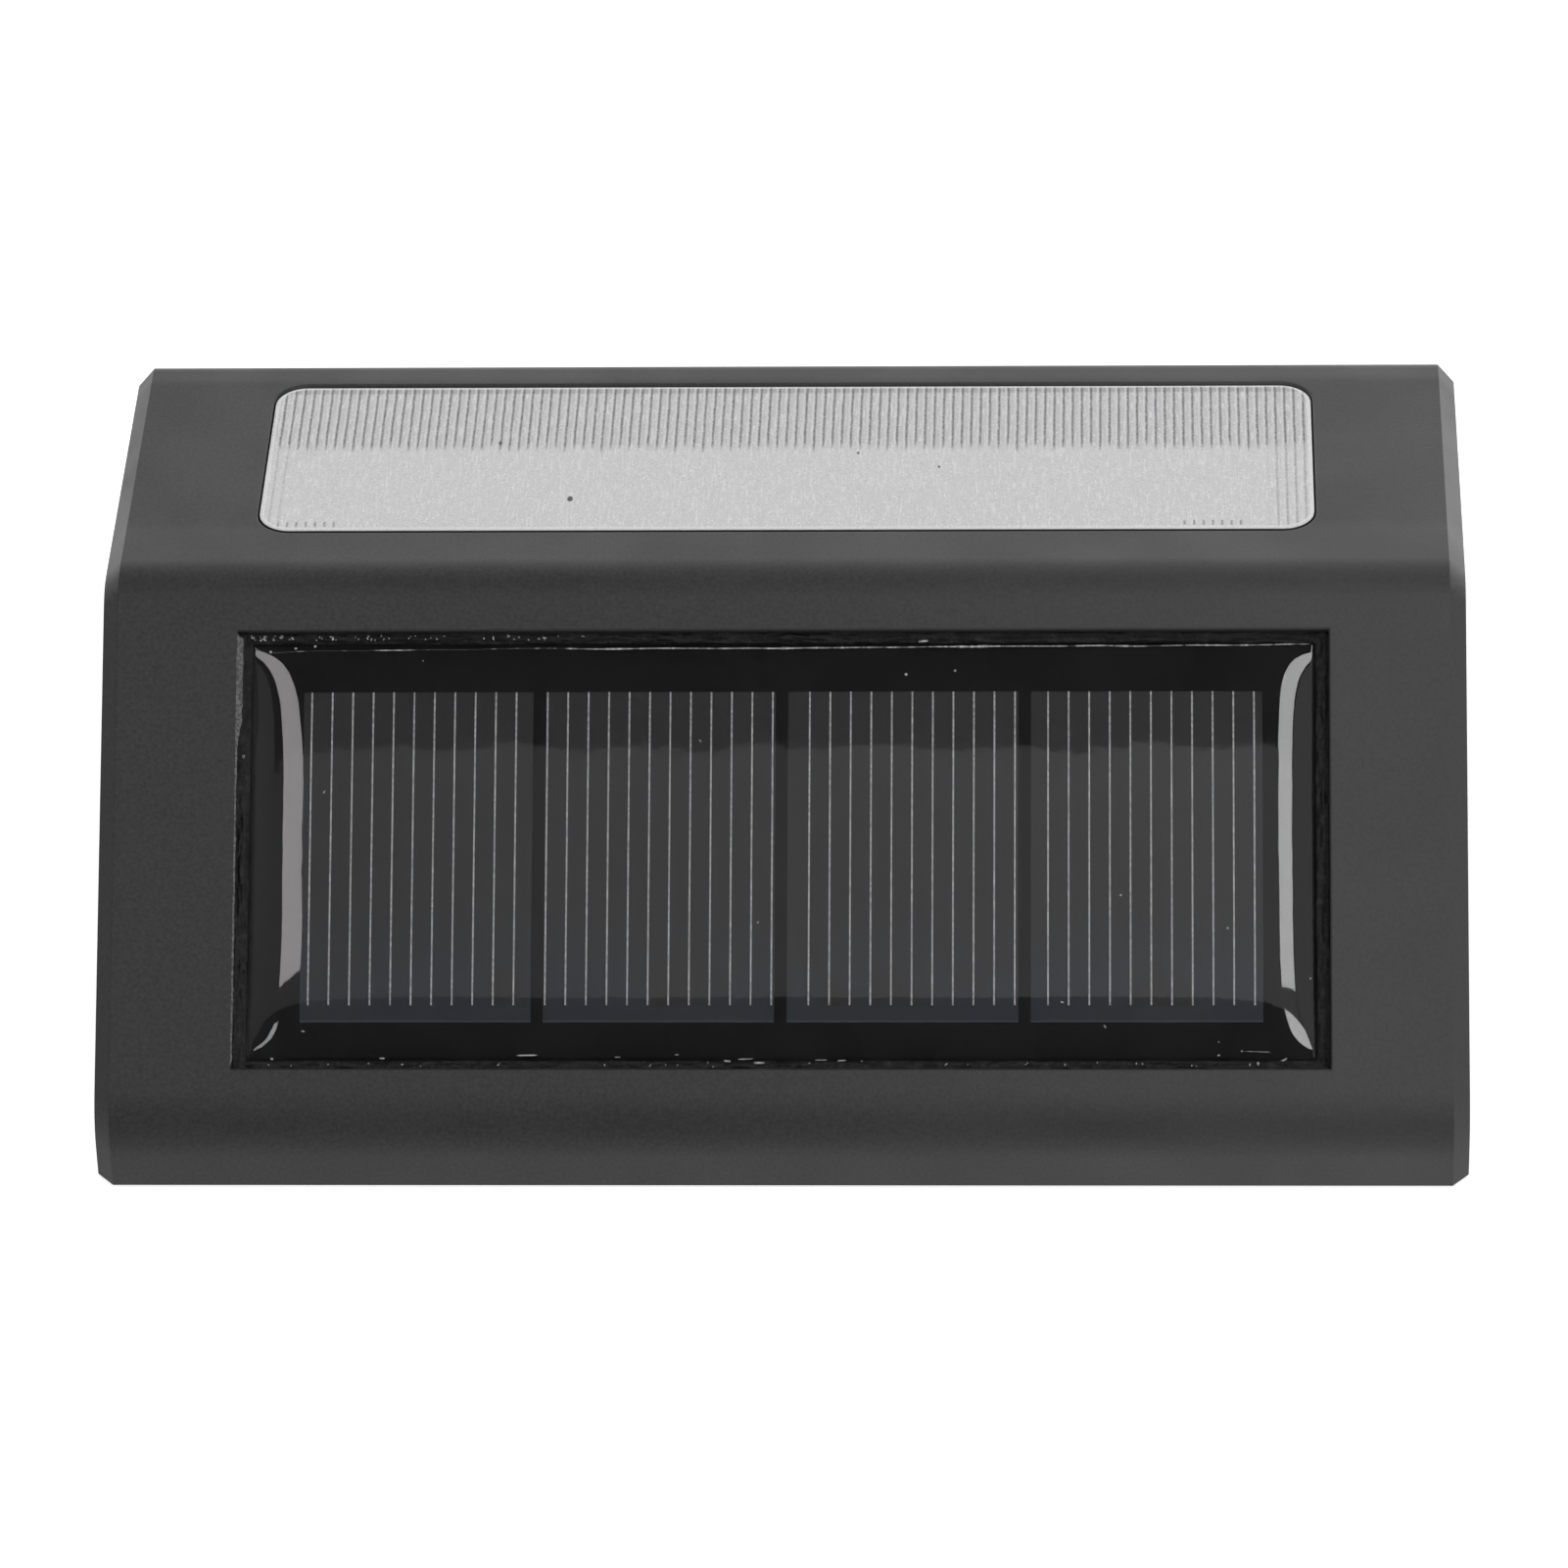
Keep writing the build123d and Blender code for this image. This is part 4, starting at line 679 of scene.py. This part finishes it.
def frostedLens(tree):
    place = inMillimetres(tree)
    x, y, z = addNode(tree, "SeparateXYZ", {0: place}).node.outputs
    grains = addNode(tree, "TexNoise", {
        "Vector": place, "Scale": lens["grains"], "Detail": 3, "Roughness": lens["grainRoughness"],
    })
    # how far across its own pitch a point lies, from 0 to 1, on slightly wavy ribs
    sway = addNode(tree, "TexNoise", {"Vector": place, "Scale": lens["sway"], "Detail": 2})
    swayed = addNode(tree, "Math", {0: sway, 1: lens["swayAmount"], 2: x}, operation="MULTIPLY_ADD")
    wobble = addNode(tree, "Math", {0: grains, 1: lens["grainAmount"], 2: swayed}, operation="MULTIPLY_ADD")
    pitches = addNode(tree, "Math", {0: wobble, 1: lens["ribPitch"]}, operation="DIVIDE")
    phase = addNode(tree, "Math", {0: pitches}, operation="FRACT")
    # the line, by its distance in mm, and its flank, by its distance in pitches
    fromLine = apart(tree, phase, 0.5)
    off = addNode(tree, "Math", {0: fromLine, 1: lens["ribPitch"]}, operation="MULTIPLY")
    line = addNode(tree, "MapRange", {0: off, **lens["line"]}, **smooth)
    flank = addNode(tree, "MapRange", {0: apart(tree, phase, lens["flankAt"]), **lens["flank"]}, **smooth)
    # they show in a band with an uneven end, faintly at both sides, and as two rows of dashes; the band is
    # painted a little darker, as shade of the lens's inside behind it
    column = addNode(tree, "CombineXYZ", {0: x})
    uneven = addNode(tree, "TexNoise", {"Vector": column, "Scale": lens["uneven"], "Detail": 1})
    reach = addNode(tree, "Math", {0: uneven, 1: lens["unevenAmount"], 2: z}, operation="MULTIPLY_ADD")
    inBand = addNode(tree, "MapRange", {0: reach, **lens["band"]}, **smooth)
    shown = inBand
    for end in ("leftEnd", "rightEnd"):
        atEnd = addNode(tree, "MapRange", {0: x, **lens[end]}, **smooth)
        shown = addNode(tree, "Math", {0: shown, 1: atEnd}, operation="MAXIMUM")
    dash = addNode(tree, "MapRange", {0: apart(tree, z, lens["dashZ"]), **lens["dashEnds"]}, **smooth)
    for low, high in lens["dashes"]:
        aside = apart(tree, x, (low + high) / 2)
        near = addNode(tree, "Math", {0: aside, 1: (high - low) / 2}, operation="LESS_THAN")
        here = addNode(tree, "Math", {0: dash, 1: near}, operation="MULTIPLY")
        shown = addNode(tree, "Math", {0: shown, 1: here}, operation="MAXIMUM")
    depth = addNode(tree, "MapRange", {0: grains, **lens["depth"]}, **smooth)
    lines = addNode(tree, "Math", {0: line, 1: shown}, operation="MULTIPLY")
    ribs = addNode(tree, "Math", {0: lines, 1: depth}, operation="MULTIPLY")
    shownFlank = addNode(tree, "Math", {0: flank, 1: shown}, operation="MULTIPLY")
    flanks = addNode(tree, "Math", {0: shownFlank, 1: lens["flankAmount"]}, operation="MULTIPLY")
    # frost: fine streaks along the ribs, dull and bright grains
    stretched = addNode(tree, "Mapping", {"Vector": place, "Scale": lens["stretch"]})
    streaks = addNode(tree, "TexNoise", {"Vector": stretched, "Scale": lens["streaks"], "Detail": 2})
    streaky = addNode(tree, "MapRange", {0: streaks, **lens["streaky"]}, **smooth)
    dull = addNode(tree, "MapRange", {0: grains, **lens["dull"]}, **smooth)
    sparkling = addNode(tree, "MapRange", {0: grains, **lens["sparkling"]}, **smooth)
    lowShade = addNode(tree, "MapRange", {0: z, **lens["lowShade"]}, **smooth)
    # bright rim, a painted highlight along the lens's edge: distance to a rounded rectangle, |max(q, 0)| +
    # min(max(qx, qz), 0) - corner, with q = |p| - half size + corner
    halfX, halfZ, corner = lens["outline"]
    q = []
    for value, middle, half in ((x, 0, halfX), (z, lens["middleZ"], halfZ)):
        fromMiddle = apart(tree, value, middle)
        q.append(addNode(tree, "Math", {0: fromMiddle, 1: half - corner}, operation="SUBTRACT"))
    outside = [addNode(tree, "Math", {0: part, 1: 0.0}, operation="MAXIMUM") for part in q]
    pair = addNode(tree, "CombineXYZ", {0: outside[0], 1: outside[1]})
    far = addNode(tree, "VectorMath", {0: pair}, operation="LENGTH")
    larger = addNode(tree, "Math", {0: q[0], 1: q[1]}, operation="MAXIMUM")
    within = addNode(tree, "Math", {0: larger, 1: 0.0}, operation="MINIMUM")
    both = addNode(tree, "Math", {0: far, 1: within}, operation="ADD")
    toRim = addNode(tree, "Math", {0: both, 1: corner}, operation="SUBTRACT")
    onRim = addNode(tree, "MapRange", {0: toRim, **lens["rim"]}, **smooth)
    rimGrains = addNode(tree, "MapRange", {0: grains, **lens["rimGrains"]}, **smooth)
    rim = addNode(tree, "Math", {0: onRim, 1: rimGrains}, operation="MULTIPLY")
    # specks, then the side of the gap round the lens, darkened as painted shade
    squeezed = addNode(tree, "Mapping", {"Vector": place, "Scale": (1, 0, lens["speckShape"])})
    specks = []
    for atX, atZ, radius in lens["specks"]:
        centre = (atX, 0, atZ * lens["speckShape"])
        spot = addNode(tree, "VectorMath", {0: squeezed, 1: centre}, operation="DISTANCE")
        outer, inner = (radius + soft for soft in lens["speckSoft"])
        specks.append(addNode(tree, "MapRange", {0: spot, 1: outer, 2: inner}, **smooth))
    inGap = addNode(tree, "MapRange", {0: y, **lens["gap"]}, **smooth)
    # the colours, each laid over the ones before it
    colour = linear("#dcdcdc")
    for amount, shade in (
        (inBand, "#cececf"), (streaky, "#f0f0f2"), (dull, "#b2b2b3"), (sparkling, "#fcfcfe"),
        (lowShade, "#8c8c8e"), (flanks, "#e8e8ea"), (ribs, "#4e4e50"), (rim, "#f4f4f5"),
        *((speck, "#2c2b2a") for speck in specks), (inGap, "#242424"),
    ):
        colour = addNode(tree, "Mix", {0: amount, 6: colour, 7: linear(shade)}, data_type="RGBA")
    bump = {"Height": grains, "Strength": lens["bumpStrength"], "Distance": lens["relief"]}
    return addNode(tree, "BsdfPrincipled", {
        "Base Color": colour, "Roughness": lens["rough"], "IOR": lens["ior"],
        "Normal": addNode(tree, "Bump", bump),
    })


materials["lens_plastic"] = newMaterial("frosted_polycarbonate", frostedLens)

# moulded edges: how a CAD node's copy is merged, flattened and rounded
moulded = {"merge": 2e-6, "flat": math.radians(0.6), "sharp": math.radians(28), "segments": 2}


# A copy of a CAD node, merged and with its edges rounded by a fine bevel.
def roundedCopy(node, name, width):
    mesh = nodes[node].data.copy()
    piece = bpy.data.objects.new(name, mesh)
    bpy.context.scene.collection.objects.link(piece)
    closeUp(piece, moulded["merge"], moulded["flat"])
    if mesh.has_custom_normals:
        mesh.attributes.remove(mesh.attributes["custom_normal"])
    mesh.shade_smooth()
    bevel = piece.modifiers.new("edges", "BEVEL")
    bevel.width, bevel.segments = width, moulded["segments"]
    bevel.limit_method, bevel.angle_limit = "ANGLE", moulded["sharp"]
    bevel.harden_normals, bevel.use_clamp_overlap = False, True
    bevel.miter_outer = "MITER_ARC"
    weighted = piece.modifiers.new("normals", "WEIGHTED_NORMAL")
    weighted.keep_sharp = True
    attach(piece, "light")
    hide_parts(node)
    return piece


# Moves the lens's front pad out until it is nearly flush with the housing, and fits its outline to
# the window: wider at the sides and a little lower.
def fillWindow(mesh):
    points = np.zeros(len(mesh.vertices) * 3, np.float32)
    mesh.vertices.foreach_get("co", points)
    points = points.reshape(-1, 3)
    pad = points[:, 1] < lens["padFront"]
    middleZ = (points[pad, 2].max() + points[pad, 2].min()) / 2
    points[pad, 1] -= lens["flush"]
    points[pad, 0] += np.sign(points[pad, 0]) * lens["widen"]
    points[pad, 2] -= np.sign(points[pad, 2] - middleZ) * lens["trim"]
    mesh.vertices.foreach_set("co", points.ravel())
    mesh.update()


housingShell = roundedCopy("front_housing", "housing_shell", 0.12 * mm)
backPlate = roundedCopy("back_cover", "back_plate", 0.15 * mm)
lensPlate = roundedCopy("diffuser_lens", "lens_plate", 0.05 * mm)
fillWindow(lensPlate.data)
dressed = {"housing_plastic": housingShell, "cover_plastic": backPlate, "lens_plastic": lensPlate}
for slotName, piece in dressed.items():
    piece.data.materials.clear()
    piece.data.materials.append(materials[slotName])

# every shown CAD node takes the material of its slot
slots = {row["node"]: row["material_slot"] for row in frame["record"]["subparts"]}
for name, thing in nodes.items():
    for place in thing.material_slots:
        place.material = materials[slots[name]]
print("materials done")


# The stage is laid out in metres on a table: right, away from the camera and up. The light lies on
# its back, so the table is the plane behind it.
def onTable(across, away, up):
    return Vector((-across, -up, cadBox[1].z - away))


# white paper, which ends where the lamps no longer light it
floor = {"half": 1.1, "level": 0.4 * mm, "glow": 0.75, "paper": "#e8e8e8"}
square = np.array([(-1, -1), (1, -1), (1, 1), (-1, 1)])


# A flat sheet: the square, stretched, with a level in place of one axis.
def makeSheet(name, stretch, axis, level):
    corners = np.insert(square * stretch, axis, level, axis=1)
    return makeObject(name, corners, np.array([[0, 1, 2, 3]]), smooth=False)


# Matt white paper that also glows, so that the camera sees it white. From below it is clear.
def whitePaper(tree):
    glow = addNode(tree, "Emission", {"Color": (1, 1, 1, 1), "Strength": floor["glow"]})
    paper = addNode(tree, "BsdfDiffuse", {"Color": linear(floor["paper"])})
    front = addNode(tree, "AddShader", {0: glow, 1: paper})
    back = addNode(tree, "NewGeometry").node.outputs["Backfacing"]
    clear = addNode(tree, "BsdfTransparent")
    return addNode(tree, "MixShader", {0: back, 1: front, 2: clear})


def makeFloor():
    sheet = makeSheet("floor", floor["half"], 1, floor["level"])
    sheet.data.materials.append(newMaterial("white_paper", whitePaper))
    sheet.visible_diffuse = sheet.visible_glossy = sheet.visible_transmission = sheet.visible_shadow = False


# White to the camera and in gloss and glass, dim as a light.
def makeWorld(dimness=0.2):
    world = bpy.data.worlds.new("studio")
    bpy.context.scene.world = world
    world.use_nodes = True
    tree = world.node_tree
    tree.nodes.clear()
    rays = addNode(tree, "LightPath").node.outputs
    seen = rays["Is Camera Ray"]
    for kind in ("Is Glossy Ray", "Is Transmission Ray"):
        seen = addNode(tree, "Math", {0: seen, 1: rays[kind]}, operation="MAXIMUM")
    white = addNode(tree, "Background", {"Color": (1, 1, 1, 1), "Strength": 1})
    dim = addNode(tree, "Background", {"Color": (1, 1, 1, 1), "Strength": dimness})
    addNode(tree, "OutputWorld", {0: addNode(tree, "MixShader", {0: seen, 1: dim, 2: white})})


def aimAt(thing, place, target, upward):
    forward = (target - place).normalized()
    side = forward.cross(upward).normalized()
    turn = Matrix((side, side.cross(forward), -forward)).transposed().to_4x4()
    thing.matrix_world = Matrix.Translation(place) @ turn


def softbox(name, place, target, width, height, radiance, upward=(0, -1, 0)):
    lamp = bpy.data.lights.new(name, "AREA")
    lamp.shape, lamp.size, lamp.size_y = "RECTANGLE", width, height
    lamp.energy = radiance * width * height * math.pi
    thing = bpy.data.objects.new(name, lamp)
    bpy.context.scene.collection.objects.link(thing)
    aimAt(thing, place, target, Vector(upward))
    thing.visible_camera = False
    return lamp


panelMiddle = Vector((0, 0.0175, 0.024))
mirrorWay = Vector((-0.04, -0.578, 0.815))    # where the flat resin reflects the camera to
upright = Vector((0, 0.815, 0.578))           # up the panel


# A place that the resin reflects: from the way that the camera is reflected to, tipped by `lift`
# and turned by `turn` degrees, at a distance from the panel.
def inReflection(turn, lift, distance):
    lifted = Matrix.Rotation(math.radians(-lift), 3, Vector((1, 0, 0))) @ mirrorWay
    turned = Matrix.Rotation(math.radians(turn), 3, upright) @ lifted
    return onTable(*(panelMiddle + turned * distance))


# lamps that show in the resin: two tall ones at its sides and two small ones at its lower corners
reflected = {
    "left": {"turn": -19.8, "lift": 9.4, "width": 0.136, "height": 0.44, "radiance": 5.4, "lean": -0.12},
    "right": {"turn": 25.2, "lift": 9.4, "width": 0.145, "height": 0.44, "radiance": 8.0, "lean": -0.12},
    "low_right": {"turn": 27.5, "lift": -16, "width": 0.16, "height": 0.24, "radiance": 9, "lean": 0},
    "low_left": {"turn": -21, "lift": -19, "width": 0.035, "height": 0.22, "radiance": 6, "lean": 0},
}
panelTarget = onTable(*panelMiddle)
longWay = onTable(*upright) - onTable(0, 0, 0)
for name, lamp in reflected.items():
    place = inReflection(lamp["turn"], lamp["lift"], 0.9)
    leaning = longWay - Vector((lamp["lean"], 0, 0))
    size = lamp["width"], lamp["height"]
    made = softbox("softbox_" + name, place, panelTarget, *size, lamp["radiance"], leaning)
    if name == "left":
        made.color = (1, 0.95, 0.96)

# the other lamps: place, target, width, height and radiance
around = {
    "softbox_far": ((0, 1.1, 0.5), (0, 0.035, 0.02), 2.4, 0.9, 0.45),
    "softbox_overhead": ((0, 0.9, 1.2), (0, 0.035, 0.02), 0.9, 0.6, 1.5),
    "rim_left": ((-0.8, 1.1, 0.16), (-0.06, 0.035, 0.02), 0.5, 0.4, 3.4),
    "softbox_right_low": ((1.2, -0.35, 0.1), (0.05, 0, 0.02), 0.5, 0.4, 3.2),
    "softbox_left_low": ((-1.2, -0.35, 0.1), (-0.05, 0, 0.02), 0.5, 0.4, 0.6),
    "rim_right": ((0.85, 1.1, 0.16), (0.06, 0.035, 0.02), 0.5, 0.4, 4.5),
    "softbox_behind": ((0, -0.6, -0.9), (0, 0.035, 0), 1.2, 0.8, 0.7),
}
for name, (place, target, width, height, radiance) in around.items():
    softbox(name, onTable(*place), onTable(*target), width, height, radiance)

# the dark studio above and behind the camera: part of a sphere that only gloss shows
darkRoom = {"radius": 2.0, "strength": 0.06, "rings": 36, "segments": 72, "lowest": -0.25, "farOpening": 0.62}

# pale walls behind the camera, which the resin reflects below its upper band and along its sides;
# tilt is how much brighter one side is
paleWalls = {
    "front": {"strength": 0.54, "turn": 0, "lift": -3.45, "width": 1.6, "height": 0.262, "tilt": 0.28},
    "left": {"strength": 0.36, "turn": -48, "lift": 4, "width": 1.0, "height": 0.9, "tilt": 0},
    "right": {"strength": 0.68, "turn": 50, "lift": 4, "width": 1.0, "height": 0.9, "tilt": 0},
}
wallDistance, tiltHalf = 1.4, 0.14


# An even glow, or one that grows along x.
def glowing(tree, strength, tilt=0):
    if tilt:
        place = addNode(tree, "TexCoord").node.outputs["Object"]
        ends = {1: -tiltHalf, 2: tiltHalf, 3: strength * (1 - tilt), 4: strength * (1 + tilt)}
        strength = addNode(tree, "MapRange", {0: addNode(tree, "SeparateXYZ", {0: place}), **ends})
    return addNode(tree, "Emission", {"Color": (1, 1, 1, 1), "Strength": strength})


def onlyInGloss(thing, material):
    thing.data.materials.append(material)
    thing.visible_camera = thing.visible_diffuse = thing.visible_shadow = False


# A sphere: across and away are the sine of the polar angle times the sine and cosine of the turn,
# up is its cosine. Faces near the table and the way to the far lamps are left out.
def makeDarkRoom():
    polar = np.linspace(0, math.pi, darkRoom["rings"])[:, None]
    turn = np.linspace(0, 2 * math.pi, darkRoom["segments"])[None, :]
    across, away, up = np.broadcast_arrays(
        np.sin(polar) * np.sin(turn), -np.sin(polar) * np.cos(turn), np.cos(polar)
    )
    points = np.stack([-across, -up, -away], -1) * darkRoom["radius"]
    faces = gridFaces(darkRoom["rings"], darkRoom["segments"])
    middleUp, middleAway = up.reshape(-1)[faces].mean(1), away.reshape(-1)[faces].mean(1)
    kept = (middleUp > darkRoom["lowest"]) & ((middleAway < 0.4) | (middleUp > darkRoom["farOpening"]))
    room = makeObject("dark_room", points, faces[kept], smooth=False)
    onlyInGloss(room, newMaterial("black_cloth", glowing, darkRoom["strength"]))


def makePaleWall(name, turn, lift, width, height, strength, tilt):
    wall = makeSheet("pale_wall_" + name, (width / 2, height / 2), 2, 0.0)
    aimAt(wall, inReflection(turn, lift, wallDistance), panelTarget, longWay)
    onlyInGloss(wall, newMaterial("grey_wall_" + name, glowing, strength, tilt))


makeFloor()
makeWorld()
makeDarkRoom()
for name, wall in paleWalls.items():
    makePaleWall(name, **wall)

# the camera, solved from the photograph's outline: metres, degrees and mm
view = {
    "distance": 0.7525, "elevation": 35.335, "turn": 2.8, "roll": -1.688, "focal": 193.93, "sensor": 36,
    "aim": (0.00027, -0.020, 0.00258), "nearest": 0.01, "farthest": 20,
}


def makeCamera():
    elevation, turn, roll = (math.radians(view[key]) for key in ("elevation", "turn", "roll"))
    forward = Vector((
        math.sin(turn) * math.cos(elevation), math.sin(elevation), -math.cos(turn) * math.cos(elevation)
    ))
    right = forward.cross(Vector((0, -1, 0))).normalized()
    up = right.cross(forward)
    rolledRight = math.cos(roll) * right + math.sin(roll) * up
    rolledUp = -math.sin(roll) * right + math.cos(roll) * up
    data = bpy.data.cameras.new("camera")
    data.lens, data.sensor_width = view["focal"], view["sensor"]
    data.clip_start, data.clip_end = view["nearest"], view["farthest"]
    camera = bpy.data.objects.new("camera", data)
    bpy.context.scene.collection.objects.link(camera)
    turned = Matrix((rolledRight, rolledUp, -forward)).transposed().to_4x4()
    camera.matrix_world = Matrix.Translation(Vector(view["aim"]) - forward * view["distance"]) @ turned
    bpy.context.scene.camera = camera


makeCamera()
bpy.context.scene.view_settings.view_transform = "Standard"
print("stage done")
